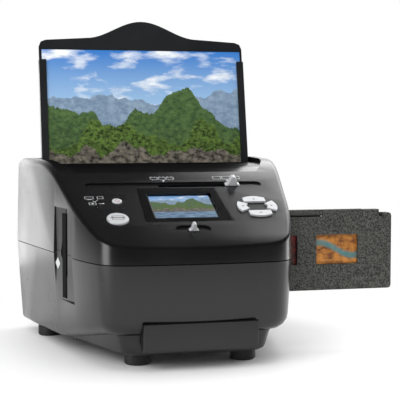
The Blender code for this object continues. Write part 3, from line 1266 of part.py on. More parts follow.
# Film channel across the housing
def film_channel():
    inner_front = SLOT_Y - HOLDER_THICKNESS / 2 - RUNNING_GAP
    inner_rear = SLOT_Y + HOLDER_THICKNESS / 2 + RUNNING_GAP
    front, rear = inner_front - CHANNEL_WALL, inner_rear + CHANNEL_WALL
    floor = HOLDER_BOTTOM_Z - RUNNING_GAP
    section = ((front, floor - CHANNEL_WALL), (rear, floor - CHANNEL_WALL), (rear, CHANNEL_TOP_Z),
               (inner_rear, CHANNEL_TOP_Z), (inner_rear, floor), (inner_front, floor),
               (inner_front, CHANNEL_TOP_Z), (front, CHANNEL_TOP_Z))
    channel = prism("film_channel", section, -CHANNEL_HALF_LENGTH, CHANNEL_HALF_LENGTH, INNER_BLACK,
                    frame=SIDE)
    for tag, side in SIDES:
        x = side * CHANNEL_LEG_X
        leg_low = (x - CHANNEL_LEG_WIDTH / 2, front + GAP, FLOOR_Z + WALL + GAP)
        leg_high = (x + CHANNEL_LEG_WIDTH / 2, rear - GAP, floor - CHANNEL_WALL / 2)
        join(channel, box("channel_leg_" + tag, leg_low, leg_high))
        ear_x = side * EAR_X
        ear = box("rod_ear_" + tag, (ear_x - EAR_WIDTH / 2, rear - CHANNEL_WALL / 2, EAR_LOW_Z),
                  (ear_x + EAR_WIDTH / 2, ROD_Y + 2 * ROD_RADIUS, EAR_HIGH_Z))
        join(channel, ear)
    cut(channel, box("channel_window", (-CHANNEL_WINDOW_HALF_WIDTH, front - OVERRUN, CHANNEL_WINDOW_LOW_Z),
                     (CHANNEL_WINDOW_HALF_WIDTH, rear + OVERRUN, CHANNEL_WINDOW_HIGH_Z)),
        rod("rod_holes", ROD_RADIUS + GAP, (-ROD_HALF_LENGTH - OVERRUN, ROD_Y, ROD_Z),
            2 * (ROD_HALF_LENGTH + OVERRUN), axis="X", segments=14))


# Slide holder: two leaves, hinged along the top, with three mounted slides between them
def leaf_outline(side):
    c = LEAF_CORNER
    notch = [(LEAF_TAB_RIGHT_X, LEAF_END_Z)]
    if side < 0:
        notch = [(LEAF_TAB_RIGHT_X + LEAF_NOTCH_WIDTH, LEAF_END_Z),
                 (LEAF_TAB_RIGHT_X + LEAF_NOTCH_WIDTH, LEAF_END_Z - LEAF_NOTCH_DEPTH),
                 (LEAF_TAB_RIGHT_X, LEAF_END_Z - LEAF_NOTCH_DEPTH)]
    return ((HOLDER_LEFT_X, HOLDER_BOTTOM_Z), (HOLDER_RIGHT_X - c, HOLDER_BOTTOM_Z),
            (HOLDER_RIGHT_X - c / 4, HOLDER_BOTTOM_Z + c / 4), (HOLDER_RIGHT_X, HOLDER_BOTTOM_Z + c),
            (HOLDER_RIGHT_X, LEAF_END_Z - c), (HOLDER_RIGHT_X - c / 4, LEAF_END_Z - c / 4),
            (HOLDER_RIGHT_X - c, LEAF_END_Z), *notch,
            (LEAF_TAB_RIGHT_X, LEAF_TAB_Z), (LEAF_TAB_LEFT_X, LEAF_TAB_Z),
            (LEAF_TAB_LEFT_X, LEAF_TOP_Z), (HOLDER_LEFT_X, LEAF_TOP_Z))


def frame_centres():
    return [FRAME_X - FRAME_PITCH * i for i in range(FRAME_COUNT)]


def leaf(name, side, knuckles):
    """One leaf; side is -1 for the front and 1 for the rear."""
    face = SLOT_Y + side * HOLDER_THICKNESS / 2
    seam = SLOT_Y + side * GAP / 2
    low, high = min(-face, -seam), max(-face, -seam)
    obj = prism(name, leaf_outline(side), low, high, HOLDER_GREY, "slide_holder", FRONT)
    top = HOLDER_TOP_Z - HINGE_RADIUS
    run = (LEAF_TAB_LEFT_X - GAP - HOLDER_LEFT_X) / HINGE_KNUCKLES
    for i in knuckles:
        start = HOLDER_LEFT_X + i * run
        knuckle = rod(f"{name}_knuckle_{i}", HINGE_RADIUS, (start + GAP / 2, SLOT_Y, top), run - GAP,
                      axis="X", segments=12)
        web_low, web_high = sorted((face - side * GAP, seam + side * 2 * GAP))
        web = box(f"{name}_web_{i}", (start + GAP, web_low, LEAF_TOP_Z - 2 * GAP),
                  (start + run - GAP, web_high, top))
        join(obj, knuckle, web)
    cut(obj, rod(name + "_bore", HINGE_BORE_RADIUS, (HOLDER_LEFT_X - OVERRUN, SLOT_Y, top),
                 LEAF_TAB_LEFT_X - HOLDER_LEFT_X + OVERRUN, axis="X", segments=12))
    pocket = SLIDE_THICKNESS / 2 + POCKET_GAP
    reach = SLIDE_SIZE / 2 + POCKET_GAP
    centres = frame_centres()
    y_low, y_high = sorted((SLOT_Y + side * pocket, SLOT_Y - side * OVERRUN))
    cut(obj, box(name + "_pocket", (centres[-1] - reach, y_low, FRAME_Z - reach),
                 (centres[0] + reach, y_high, FRAME_Z + reach)))
    half_w, half_h = FRAME_OPENING_WIDTH / 2, FRAME_OPENING_HEIGHT / 2
    for i, x in enumerate(centres):
        cut(obj, box(f"{name}_window_{i}", (x - half_w, SLOT_Y - HOLDER_THICKNESS, FRAME_Z - half_h),
                     (x + half_w, SLOT_Y + HOLDER_THICKNESS, FRAME_Z + half_h)))


def slide(index, x):
    """Mounted slide: a square frame with a chip of film across its window."""
    half, thick = SLIDE_SIZE / 2, SLIDE_THICKNESS / 2
    obj = box(f"slide_{index}", (x - half, SLOT_Y - thick, FRAME_Z - half),
              (x + half, SLOT_Y + thick, FRAME_Z + half), SLIDE_MOUNT, "slide_holder")
    half_w, half_h, film = SLIDE_WINDOW_WIDTH / 2, SLIDE_WINDOW_HEIGHT / 2, SLIDE_FILM_THICKNESS / 2
    cut(obj, box(f"slide_front_{index}", (x - half_w, SLOT_Y - OVERRUN, FRAME_Z - half_h),
                 (x + half_w, SLOT_Y - film, FRAME_Z + half_h)),
        box(f"slide_back_{index}", (x - half_w, SLOT_Y + film, FRAME_Z - half_h),
            (x + half_w, SLOT_Y + OVERRUN, FRAME_Z + half_h)))


def slide_holder():
    body("slide_holder", (HOLDER_RIGHT_X, SLOT_Y, FRAME_Z))
    leaf("holder_front_leaf", -1, range(0, HINGE_KNUCKLES, 2))
    leaf("holder_rear_leaf", 1, range(1, HINGE_KNUCKLES, 2))
    rod("holder_hinge_pin", HINGE_PIN_RADIUS, (HOLDER_LEFT_X + GAP, SLOT_Y, HOLDER_TOP_Z - HINGE_RADIUS),
        LEAF_TAB_LEFT_X - HOLDER_LEFT_X - 3 * GAP, STEEL, "slide_holder", axis="X", segments=10)
    for i, x in enumerate(frame_centres()):
        slide(i + 1, x)


# Photo tray
def grip_rise(x):
    if abs(x) >= GRIP_HALF_WIDTH:
        return 0.0
    return GRIP_HEIGHT * (1 + cos(pi * x / GRIP_HALF_WIDTH)) / 2


def tray_outline():
    half, low = TRAY_HALF_WIDTH - TRAY_PLATE_INSET, -TRAY_LEDGE
    corner = TRAY_CORNER_RADIUS
    right = [(half, low), (half, TRAY_SHOULDER_V - corner)]
    for i in (1, 2):
        angle = i * pi / 4
        right.append((half - corner * (1 - cos(angle)), TRAY_SHOULDER_V - corner * (1 - sin(angle))))
    for i in range(GRIP_STEPS):
        x = GRIP_HALF_WIDTH * (1 - i / GRIP_STEPS)
        right.append((x, TRAY_SHOULDER_V + TRAY_SHOULDER_RISE + grip_rise(x)))
    top = [(0, TRAY_SHOULDER_V + TRAY_SHOULDER_RISE + GRIP_HEIGHT)]
    return right + top + [(-x, v) for x, v in reversed(right)]


def tray():
    body("photo_tray", TRAY_ORIGIN)
    lip_low = PRINT_THICKNESS / 2 + PRINT_GAP
    plate_front = -lip_low
    plate_back = plate_front - TRAY_PLATE
    rib_back = plate_back - TRAY_BACK_RIB
    lip_front = lip_low + TRAY_LIP_THICKNESS
    obj = prism("photo_tray", tray_outline(), plate_back, plate_front, TRAY_GREY, "photo_tray", TRAY)
    edge = TRAY_HALF_WIDTH
    print_edge = PRINT_WIDTH / 2 + PRINT_GAP
    for tag, side in SIDES:
        section = ((rib_back, side * edge), (lip_front, side * edge),
                   (lip_front, side * (edge - TRAY_LIP_WIDTH)), (lip_low, side * (edge - TRAY_LIP_WIDTH)),
                   (lip_low, side * print_edge), (rib_back, side * print_edge))
        join(obj, prism("tray_rail_" + tag, section, -TRAY_LEDGE + GAP, TRAY_LIP_TOP_V,
                        frame=TRAY_SECTION, owner="photo_tray"))
    ledge = ((rib_back + GAP, -PRINT_GAP), (lip_low, -PRINT_GAP), (lip_low, TRAY_FRONT_LEDGE),
             (lip_front - GAP, TRAY_FRONT_LEDGE), (lip_front - GAP, -TRAY_LEDGE),
             (rib_back + GAP, -TRAY_LEDGE))
    frame = frame_of(TRAY_ORIGIN, OUT_OF_TRAY, UP_TRAY)
    half = edge - GAP
    join(obj, prism("tray_ledge", ledge, -half, half, frame=frame, owner="photo_tray"))
    body("photo_print", TRAY_ORIGIN, "photo_tray")
    thick = PRINT_THICKNESS / 2
    box("photo_print", (-PRINT_WIDTH / 2, 0, -thick), (PRINT_WIDTH / 2, PRINT_HEIGHT, thick), PAPER,
        "photo_print", TRAY)


def tray_guides():
    """Channels that the tray's edges run in, standing on the floor of the housing."""
    lip_low = PRINT_THICKNESS / 2 + PRINT_GAP
    front = lip_low + TRAY_LIP_THICKNESS + RUNNING_GAP
    rear = -lip_low - TRAY_PLATE - TRAY_BACK_RIB - RUNNING_GAP
    web = TRAY_HALF_WIDTH + RUNNING_GAP
    lip = TRAY_HALF_WIDTH - GUIDE_REACH
    pan_bottom = CROWN_Z - RECESS_DEPTH - WALL / cos(PANEL_ANGLE) - GUIDE_TOP_SPACE
    low = (GUIDE_FOOT_Z - PRINT_Z) / cos(TRAY_LEAN)
    high = (pan_bottom - PRINT_Z) / cos(TRAY_LEAN)
    for tag, side in SIDES:
        outer = side * (web + GUIDE_WEB)
        section = ((rear - GUIDE_FLANGE, outer), (front + GUIDE_FLANGE, outer),
                   (front + GUIDE_FLANGE, side * lip), (front, side * lip), (front, side * web),
                   (rear, side * web), (rear, side * lip), (rear - GUIDE_FLANGE, side * lip))
        prism("tray_guide_" + tag, section, low, high, INNER_BLACK, frame=TRAY_SECTION)


# Boards, lights and sockets
def main_board():
    top = MAIN_BOARD_Z + PCB_THICKNESS
    board = box("main_board", (MAIN_BOARD_LEFT_X, MAIN_BOARD_FRONT_Y, MAIN_BOARD_Z),
                (MAIN_BOARD_RIGHT_X, MAIN_BOARD_REAR_Y, top), BOARD_GREEN)
    centre_y = (MAIN_BOARD_FRONT_Y + MAIN_BOARD_REAR_Y) / 2
    for i, share in enumerate((0.22, 0.42, 0.60)):
        x, half = lerp(MAIN_BOARD_LEFT_X, MAIN_BOARD_RIGHT_X, share), CHIP_SIZE / 2 / (i + 1)
        join(board, box(f"chip_{i}", (x - half, centre_y - half, top - GAP),
                        (x + half, centre_y + half, top + CHIP_HEIGHT * (i + 1))))
    low_z = top + GAP
    right = side_x(CARD_FRONT_Y) - draft_inset(1, 0, low_z) - CARD_FACE_INSET
    socket = box("card_socket", (CARD_LEFT_X, CARD_FRONT_Y, low_z),
                 (right, CARD_REAR_Y, low_z + CARD_HEIGHT), STEEL)
    margin = (CARD_HEIGHT - CARD_MOUTH_HEIGHT) / 2
    cut(socket, box("card_mouth", (right - CARD_MOUTH_DEPTH, CARD_FRONT_Y + margin, low_z + margin),
                    (right + OVERRUN, CARD_REAR_Y - margin, low_z + CARD_HEIGHT - margin)))


def light_strips():
    for tag, side in SIDES:
        inner, outer = side * LIGHT_STRIP_X, side * (LIGHT_STRIP_X + LIGHT_STRIP_THICKNESS)
        low_z = FLOOR_Z + WALL + GAP
        strip = box("photo_light_" + tag, (min(inner, outer), LIGHT_STRIP_FRONT_Y, low_z),
                    (max(inner, outer), LIGHT_STRIP_REAR_Y, LIGHT_STRIP_TOP_Z), WHITE)
        middle = (LIGHT_STRIP_FRONT_Y + LIGHT_STRIP_REAR_Y) / 2
        for i in range(LIGHT_STRIP_LEDS):
            z = lerp(low_z, LIGHT_STRIP_TOP_Z, (i + 1) / (LIGHT_STRIP_LEDS + 1))
            face, root = side * (LIGHT_STRIP_X - LED_CHIP_THICKNESS), side * (LIGHT_STRIP_X + GAP)
            chip_low = (min(face, root), middle - LED_CHIP / 2, z - LED_CHIP / 2)
            chip_high = (max(face, root), middle + LED_CHIP / 2, z + LED_CHIP / 2)
            join(strip, box(f"strip_led_{tag}_{i}", chip_low, chip_high))


def back_connectors():
    middle = (BACK_PLATE_LOW_Z + BACK_PLATE_HIGH_Z) / 2
    y = REAR_Y - (PARTING_Z - middle) * tan(REAR_DRAFT) - BACK_PLATE_INSET
    half_height = (BACK_PLATE_HIGH_Z - BACK_PLATE_LOW_Z) / 2
    lean = Matrix.Translation((0, y, middle)) @ Matrix.Rotation(-REAR_DRAFT, 4, "X")
    plate = box("back_plate", (-BACK_PLATE_HALF_WIDTH, -BACK_PLATE_THICKNESS, -half_height + GAP),
                (BACK_PLATE_HALF_WIDTH, 0, half_height - GAP), BLACK_CASE, frame=lean)
    usb_z = IO_BOARD_Z + PCB_THICKNESS + GAP
    cut(plate, box("usb_hole", (-USB_HALF_WIDTH - GAP, USB_FRONT_Y, usb_z - GAP),
                   (USB_HALF_WIDTH + GAP, REAR_Y, usb_z + USB_HEIGHT + GAP)))
    box("io_board", (-IO_BOARD_HALF_WIDTH, IO_BOARD_FRONT_Y, IO_BOARD_Z),
        (IO_BOARD_HALF_WIDTH, IO_BOARD_REAR_Y, IO_BOARD_Z + PCB_THICKNESS), BOARD_GREEN)
    socket = box("usb_socket", (-USB_HALF_WIDTH, USB_FRONT_Y, usb_z),
                 (USB_HALF_WIDTH, USB_REAR_Y, usb_z + USB_HEIGHT), STEEL)
    half, mid_y = USB_HALF_WIDTH - USB_WALL, (USB_FRONT_Y + USB_REAR_Y) / 2
    cut(socket, box("usb_mouth", (-half, mid_y, usb_z + USB_WALL),
                    (half, REAR_Y, usb_z + USB_HEIGHT - USB_WALL)))


# Feet, screws and plinth
def feet():
    top, low = FLOOR_Z - GAP, FOOT_LOW_Z
    profile = ((0, FOOT_PLUG_TOP_Z), (FOOT_PLUG_RADIUS, FOOT_PLUG_TOP_Z), (FOOT_PLUG_RADIUS, top),
               (FOOT_RADIUS - FOOT_EDGE / 2, top), (FOOT_RADIUS, top - FOOT_EDGE),
               (FOOT_RADIUS, low + FOOT_EDGE), (FOOT_RADIUS - FOOT_EDGE, low), (0, low))
    for tag, x, y in FRONT_PLACES + REAR_FEET:
        turned("foot_" + tag, profile, RUBBER, frame=Matrix.Translation((x, y, 0)), steps=24)


def screws():
    neck = SCREW_HEAD_HEIGHT / 2
    for tag, x, y in SCREW_PLACES:
        place = Matrix.Translation((x, y, 0))
        head = LEDGE_Z - GAP
        tip = head + SCREW_LENGTH
        screw = ((0, tip), (SCREW_RADIUS / 2, tip), (SCREW_RADIUS, tip - SCREW_RADIUS),
                 (SCREW_RADIUS, head), (SCREW_HEAD_RADIUS, head), (SCREW_HEAD_RADIUS, head - neck),
                 (SCREW_RADIUS, head - SCREW_HEAD_HEIGHT), (0, head - SCREW_HEAD_HEIGHT))
        turned("housing_screw_" + tag, screw, STEEL, frame=place, steps=12)


def plinth():
    obj = box("front_plinth", (-PLINTH_HALF_WIDTH, PLINTH_FRONT_Y, PLINTH_LOW_Z),
              (PLINTH_HALF_WIDTH, PLINTH_REAR_Y, PLINTH_HIGH_Z), BLACK_CASE)
    soften(obj, PLINTH_EDGE, 2)


body("scanner")
lower_housing()
upper_housing()
display()
buttons()
backlight()
focus()
lens()
optics_bracket()
sensor_board()
film_channel()
slide_holder()
tray()
tray_guides()
main_board()
light_strips()
back_connectors()
feet()
screws()
plinth()
widest = max(item[0] for item in half_plan())
BODIES["scanner"][0].location = ((widest - HOLDER_RIGHT_X) / 2, ORIGIN_SHIFT_Y, -FOOT_LOW_Z)
bpy.context.view_layer.update()
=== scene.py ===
# %% [markdown]
# # A film and photo scanner on a studio table
# The scanner is a black box that tapers to its foot. A sloped panel with a small screen, keys and
# two sliding knobs faces the front. A photo tray stands out of the top, and a slide holder passes
# through the sides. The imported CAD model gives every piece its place, so this lesson starts by
# loading it, and dresses it piece by piece.

# %% Load the CAD model
import json
from math import cos, pi, radians, sin

import bpy
from mathutils import Matrix, Vector

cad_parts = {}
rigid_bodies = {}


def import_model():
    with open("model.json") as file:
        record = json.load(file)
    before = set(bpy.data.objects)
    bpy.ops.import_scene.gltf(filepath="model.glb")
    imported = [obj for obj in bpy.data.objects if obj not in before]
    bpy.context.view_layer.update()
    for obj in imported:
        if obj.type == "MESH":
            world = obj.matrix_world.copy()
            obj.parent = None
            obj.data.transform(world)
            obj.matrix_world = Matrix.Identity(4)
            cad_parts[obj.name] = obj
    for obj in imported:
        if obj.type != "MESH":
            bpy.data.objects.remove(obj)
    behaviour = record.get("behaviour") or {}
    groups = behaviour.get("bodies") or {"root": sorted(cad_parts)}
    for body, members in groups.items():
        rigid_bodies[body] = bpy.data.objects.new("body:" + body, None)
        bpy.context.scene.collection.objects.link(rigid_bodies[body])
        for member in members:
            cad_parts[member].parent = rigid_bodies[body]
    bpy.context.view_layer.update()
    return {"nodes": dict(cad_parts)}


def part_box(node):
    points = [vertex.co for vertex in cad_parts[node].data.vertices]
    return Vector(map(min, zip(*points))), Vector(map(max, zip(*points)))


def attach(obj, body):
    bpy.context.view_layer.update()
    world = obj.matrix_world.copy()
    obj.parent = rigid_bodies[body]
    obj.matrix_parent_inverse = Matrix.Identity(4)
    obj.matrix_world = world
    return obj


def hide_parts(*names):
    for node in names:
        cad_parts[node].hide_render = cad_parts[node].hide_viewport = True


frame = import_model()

NODES = frame["nodes"]
MM = 0.001
print("CAD nodes:", len(NODES))

# %% [markdown]
# ## Where things are
# The housing is drawn about its own middle plane. The tray is as wide to the left as to the right,
# so the middle of its box is that plane. The parting line at the back is the rearmost edge. Two
# small functions then turn a place in the case, or on the sloped panel, into a point.

# %% Places in the case and on the panel
MIDDLE_X = sum(corner[0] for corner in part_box("photo_tray")) / 2
REAR_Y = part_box("lower_housing")[1][1]
UNDERSIDE_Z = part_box("lower_housing")[0][2]
PANEL_TILT = radians(25.1)
PANEL_START = Vector((MIDDLE_X, REAR_Y - 181 * MM, UNDERSIDE_Z + 98.77 * MM))
CASE_START = Vector((MIDDLE_X, REAR_Y - 125 * MM, UNDERSIDE_Z - 7 * MM))
PANEL_PLACE = Matrix.Translation(PANEL_START) @ Matrix.Rotation(PANEL_TILT, 4, "X")


def on_case(x, y, z):
    """Point from millimetres right of the middle, behind the deepest part, and over the feet."""
    return CASE_START + Vector((x, y, z)) * MM


def on_panel(x, u, w=0.0):
    """Point in metres from millimetres across the panel, up its slope and out of it."""
    return PANEL_PLACE @ (Vector((x, u, w)) * MM)


print("middle plane x:", round(MIDDLE_X, 5), "rear edge y:", round(REAR_Y, 5))

# %% [markdown]
# ## Small tools
# Operators act on all that is selected, and the CAD nodes come in selected. So each step first
# deselects everything and then picks its own piece.

# %% Selecting and finishing pieces
def pick(*pieces):
    bpy.ops.object.select_all(action="DESELECT")
    for piece in pieces:
        piece.select_set(True)
    bpy.context.view_layer.objects.active = pieces[0]


def settle(piece):
    """Writes an object's place, turn and scale into its mesh."""
    pick(piece)
    bpy.ops.object.transform_apply(location=True, rotation=True, scale=True)


def use_modifier(piece, kind, **settings):
    """Adds a modifier and applies it at once."""
    pick(piece)
    bpy.ops.object.modifier_add(type=kind)
    modifier = piece.modifiers[-1]
    for key, value in settings.items():
        setattr(modifier, key, value)
    bpy.ops.object.modifier_apply(modifier=modifier.name)


SMOOTH = radians(34)


def bevel(piece, width, segments=2, angle=SMOOTH):
    use_modifier(piece, "BEVEL", width=width * MM, segments=segments, limit_method="ANGLE",
                 angle_limit=angle, miter_outer="MITER_ARC", loop_slide=False)


def smooth(piece, angle=SMOOTH):
    """Shades faces smooth across soft edges and lets the big faces set the direction."""
    pick(piece)
    bpy.ops.object.shade_smooth_by_angle(angle=angle)
    use_modifier(piece, "WEIGHTED_NORMAL", keep_sharp=True, weight=80)


def wear(piece, name, finish, body, *replaced):
    """Names a finished piece, gives it its material and lets it ride on its body."""
    piece.name = name
    piece.data.name = name
    piece.data.materials.clear()
    piece.data.materials.append(finish[0])
    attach(piece, body)
    if replaced:
        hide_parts(*replaced)
    return piece


# %% [markdown]
# ## Colours and shader nodes
# Colours are written as sRGB hex values, as a designer reads them off a screen. Blender's shaders
# add up light, so they want linear values, and one function converts them. Another adds a node
# with its settings and links, which keeps each material a short list.

# %% Colour and node helpers
def linear(code):
    parts = [int(code[i:i + 2], 16) / 255 for i in (1, 3, 5)]
    return [*(c / 12.92 if c <= 0.04045 else ((c + 0.055) / 1.055) ** 2.4 for c in parts), 1.0]


def blank(name):
    material = bpy.data.materials.new(name)
    material.use_nodes = True
    tree = material.node_tree
    return material, tree, tree.nodes["Principled BSDF"]


def add_node(tree, kind, links=None, stops=None, **settings):
    """Adds a node; links maps an input to a value or to another node's output."""
    node = tree.nodes.new(kind)
    for key, value in settings.items():
        setattr(node, key, value)
    for i, (place, colour) in enumerate(stops or ()):
        element = node.color_ramp.elements[i] if i < 2 else node.color_ramp.elements.new(place)
        element.position = place
        element.color = linear(colour)
    for socket, source in (links or {}).items():
        if isinstance(source, bpy.types.NodeSocket):
            tree.links.new(source, node.inputs[socket])
        else:
            node.inputs[socket].default_value = source
    return node


# %% [markdown]
# ## Moulded plastics
# Nearly every visible piece is injection-moulded. The tool is spark-eroded, which leaves a fine
# even grain in the plastic, and the flow of the melt leaves slow, faint changes in gloss. So each
# plastic gets a noise of grain size in its bump and a slow noise in its colour and roughness.
# A grain of 0.2 mm is too fine to see at this distance, so it is drawn at about 0.5 mm.

# %% Moulded plastic finishes
DRIFT_MM = 45
PLASTIC_IOR = 1.50


def moulded(name, slot, dark, light, grain_mm, depth_mm, rough, specular=0.5):
    """Moulded plastic: two near colours, a grain with its size and depth, a roughness range."""
    material, tree, shader = blank(name)
    place = add_node(tree, "ShaderNodeTexCoord").outputs["Object"]
    grain = add_node(tree, "ShaderNodeTexNoise", {"Vector": place, "Scale": 1 / (grain_mm * MM),
                                                  "Detail": 2.0, "Roughness": 0.55})
    drift = add_node(tree, "ShaderNodeTexNoise", {"Vector": place, "Scale": 1 / (DRIFT_MM * MM),
                                                  "Detail": 4.0})
    tint = add_node(tree, "ShaderNodeValToRGB", {"Fac": drift.outputs[0]},
                    stops=((0.35, dark), (0.68, light)))
    gloss = add_node(tree, "ShaderNodeMapRange", {"Value": drift.outputs[0], "From Min": 0.3,
                                                  "From Max": 0.7, "To Min": rough[0],
                                                  "To Max": rough[1]})
    relief = add_node(tree, "ShaderNodeBump", {"Height": grain.outputs[0], "Strength": 1.0,
                                               "Distance": depth_mm * MM})
    tree.links.new(tint.outputs["Color"], shader.inputs["Base Color"])
    tree.links.new(gloss.outputs["Result"], shader.inputs["Roughness"])
    tree.links.new(relief.outputs["Normal"], shader.inputs["Normal"])
    shader.inputs["IOR"].default_value = PLASTIC_IOR
    shader.inputs["Specular IOR Level"].default_value = specular
    return material, slot


HOUSING_ABS = moulded("moulded_black_abs", "case_black", "#111112", "#151516", 0.5, 0.004,
                      (0.22, 0.28))
TRAY_ABS = moulded("moulded_tray_abs", "tray_grey", "#1d1e20", "#242527", 0.6, 0.008, (0.34, 0.42))
INNER_ABS = moulded("matt_inner_abs", "inner_black", "#0c0c0d", "#121213", 0.7, 0.02, (0.5, 0.6))
GLOSS_ABS = moulded("polished_black_abs", "gloss_black", "#09090a", "#0c0c0e", 0.8, 0.001,
                    (0.10, 0.16))
RUBBER = moulded("moulded_rubber", "rubber", "#1c1c1c", "#262626", 0.7, 0.02, (0.50, 0.62), 0.4)
# Light grey ink for print; the same colour also draws one painted highlight on the panel.
PALE_INK_AND_HIGHLIGHT = moulded("screen_printed_ink", "white_plastic", "#d6d8da", "#e2e4e6", 0.4, 0.004, (0.45, 0.55))
DARK_INK = moulded("dark_printed_ink", "inner_black", "#141417", "#1c1d22", 0.4, 0.004, (0.4, 0.5))
RED_INK = moulded("red_printed_ink", "white_plastic", "#8e2730", "#a3323c", 0.4, 0.004, (0.4, 0.5))
print("moulded finishes made: 8")

# %% [markdown]
# ## Sparked holder
# The holder's tool is spark-eroded much more coarsely than the case's. Its grain is wide enough to
# see, and it drives the colour as well as the bump: dark in each pit as painted shade, and light on
# each land between the pits as painted highlight. It is drawn at 1 mm, about twice the real pitch,
# so that it shows.

# %% Sparked finish
def sparked(name, slot, pit, land, grain_mm, depth_mm, rough):
    material, tree, shader = blank(name)
    place = add_node(tree, "ShaderNodeTexCoord").outputs["Object"]
    grain = add_node(tree, "ShaderNodeTexNoise", {"Vector": place, "Scale": 1 / (grain_mm * MM),
                                                  "Detail": 2.0, "Roughness": 0.6}).outputs[0]
    # Pits darker as painted shade, lands lighter as painted highlight.
    tint = add_node(tree, "ShaderNodeValToRGB", {"Fac": grain},
                    stops=((0.38, pit), (0.64, land))).outputs["Color"]
    relief = add_node(tree, "ShaderNodeBump", {"Height": grain, "Strength": 0.6,
                                               "Distance": depth_mm * MM})
    tree.links.new(tint, shader.inputs["Base Color"])
    tree.links.new(relief.outputs["Normal"], shader.inputs["Normal"])
    shader.inputs["Roughness"].default_value = rough
    shader.inputs["IOR"].default_value = PLASTIC_IOR
    shader.inputs["Specular IOR Level"].default_value = 0.35
    return material, slot


HOLDER_ABS = sparked("sparked_holder_abs", "holder_grey", "#1f201e", "#5c5d58", 1.0, 0.06, 0.55)
# Matt black that stands as painted shade in the mouths of the side slots.
SLOT_SHADE_BLACK = sparked("black_flock", "inner_black", "#030303", "#090909", 0.7, 0.05, 0.95)
print("sparked finishes made: 2")

# %% [markdown]
# ## Paint, metal, board and glass
# The keys and knobs are ABS with a silver paint: fine flakes in a clear binder, so a light grey
# that is partly metallic. Screws and the lever rod are zinc-plated steel. The boards are glass
# fibre under green solder mask. The screen window is clear acrylic, and the light panel behind the
# slides is opal acrylic that lets its lamps show as an even white.

# %% Silver paint and steel
def flaked(name, slot, dark, light, flake_mm, metallic, rough):
    """Metal or metallic paint whose brightness changes from flake to flake."""
    material, tree, shader = blank(name)
    place = add_node(tree, "ShaderNodeTexCoord").outputs["Object"]
    flake = add_node(tree, "ShaderNodeTexVoronoi", {"Vector": place, "Scale": 1 / (flake_mm * MM)})
    drift = add_node(tree, "ShaderNodeTexNoise", {"Vector": place, "Scale": 1 / (6 * MM)})
    tint = add_node(tree, "ShaderNodeValToRGB", {"Fac": flake.outputs["Distance"]},
                    stops=((0.1, light), (0.8, dark)))
    gloss = add_node(tree, "ShaderNodeMapRange", {"Value": drift.outputs[0], "To Min": rough[0],
                                                  "To Max": rough[1]})
    relief = add_node(tree, "ShaderNodeBump", {"Height": flake.outputs["Distance"],
                                               "Strength": 0.3, "Distance": 0.004 * MM})
    tree.links.new(tint.outputs["Color"], shader.inputs["Base Color"])
    tree.links.new(gloss.outputs["Result"], shader.inputs["Roughness"])
    tree.links.new(relief.outputs["Normal"], shader.inputs["Normal"])
    shader.inputs["Metallic"].default_value = metallic
    return material, slot


SILVER_PAINT = flaked("silver_painted_abs", "silver_paint", "#c2c4c7", "#dadbdd", 0.25, 0.25,
                      (0.28, 0.38))
ZINC_STEEL = flaked("zinc_plated_steel", "steel", "#a9abad", "#c4c5c6", 0.5, 1.0, (0.25, 0.40))

# %% Solder mask, acrylic and opal sheet
def solder_mask():
    material, tree, shader = blank("green_solder_mask")
    place = add_node(tree, "ShaderNodeTexCoord").outputs["Object"]
    tracks = add_node(tree, "ShaderNodeTexBrick", {"Vector": place, "Scale": 1 / (5 * MM),
                                                   "Color1": linear("#12512c"),
                                                   "Color2": linear("#17603a"),
                                                   "Mortar": linear("#2b7a4c"),
                                                   "Mortar Size": 0.03})
    relief = add_node(tree, "ShaderNodeBump", {"Height": tracks.outputs["Fac"],
                                               "Distance": 0.03 * MM})
    tree.links.new(tracks.outputs["Color"], shader.inputs["Base Color"])
    tree.links.new(relief.outputs["Normal"], shader.inputs["Normal"])
    shader.inputs["Roughness"].default_value = 0.35
    return material, "board_green"


def clear_acrylic():
    material, tree, shader = blank("clear_acrylic")
    place = add_node(tree, "ShaderNodeTexCoord").outputs["Object"]
    haze = add_node(tree, "ShaderNodeTexNoise", {"Vector": place, "Scale": 1 / (8 * MM)})
    gloss = add_node(tree, "ShaderNodeMapRange", {"Value": haze.outputs[0], "To Min": 0.01,
                                                  "To Max": 0.04})
    tree.links.new(gloss.outputs["Result"], shader.inputs["Roughness"])
    shader.inputs["Base Color"].default_value = linear("#f4f6f7")
    shader.inputs["Transmission Weight"].default_value = 1.0
    shader.inputs["IOR"].default_value = 1.49
    return material, "clear_glass"


SOLDER_MASK = solder_mask()
ACRYLIC = clear_acrylic()
print("painted, metal, board and clear finishes made: 4")

# %% [markdown]
# ## A landscape from noise
# The print in the tray and the screen both show a landscape. It is drawn by the material: a ramp
# of blue for the sky, noise for the clouds, and ridges that are each a noise line with everything
# below it filled in. Far ridges are pale and blue, near ones green and speckled with trees. A lake
# with long ripples lies in front. The Mapping node turns the piece's place into shares from 0 to 1
# across the picture and up it.

# %% Landscape picture
RIDGES = (          # height and wobble as shares, wobble scale, ridge offset, dark, light, grain
    (0.66, 0.22, 2.3, 1.0, "#6d86a0", "#93a9bf", 30.0),
    (0.55, 0.30, 2.9, 4.0, "#31492c", "#5c7a44", 46.0),
    (0.40, 0.26, 3.7, 9.0, "#15240f", "#6b8a3c", 60.0),
    (0.27, 0.12, 6.0, 13.0, "#191a18", "#8c8577", 34.0),
)


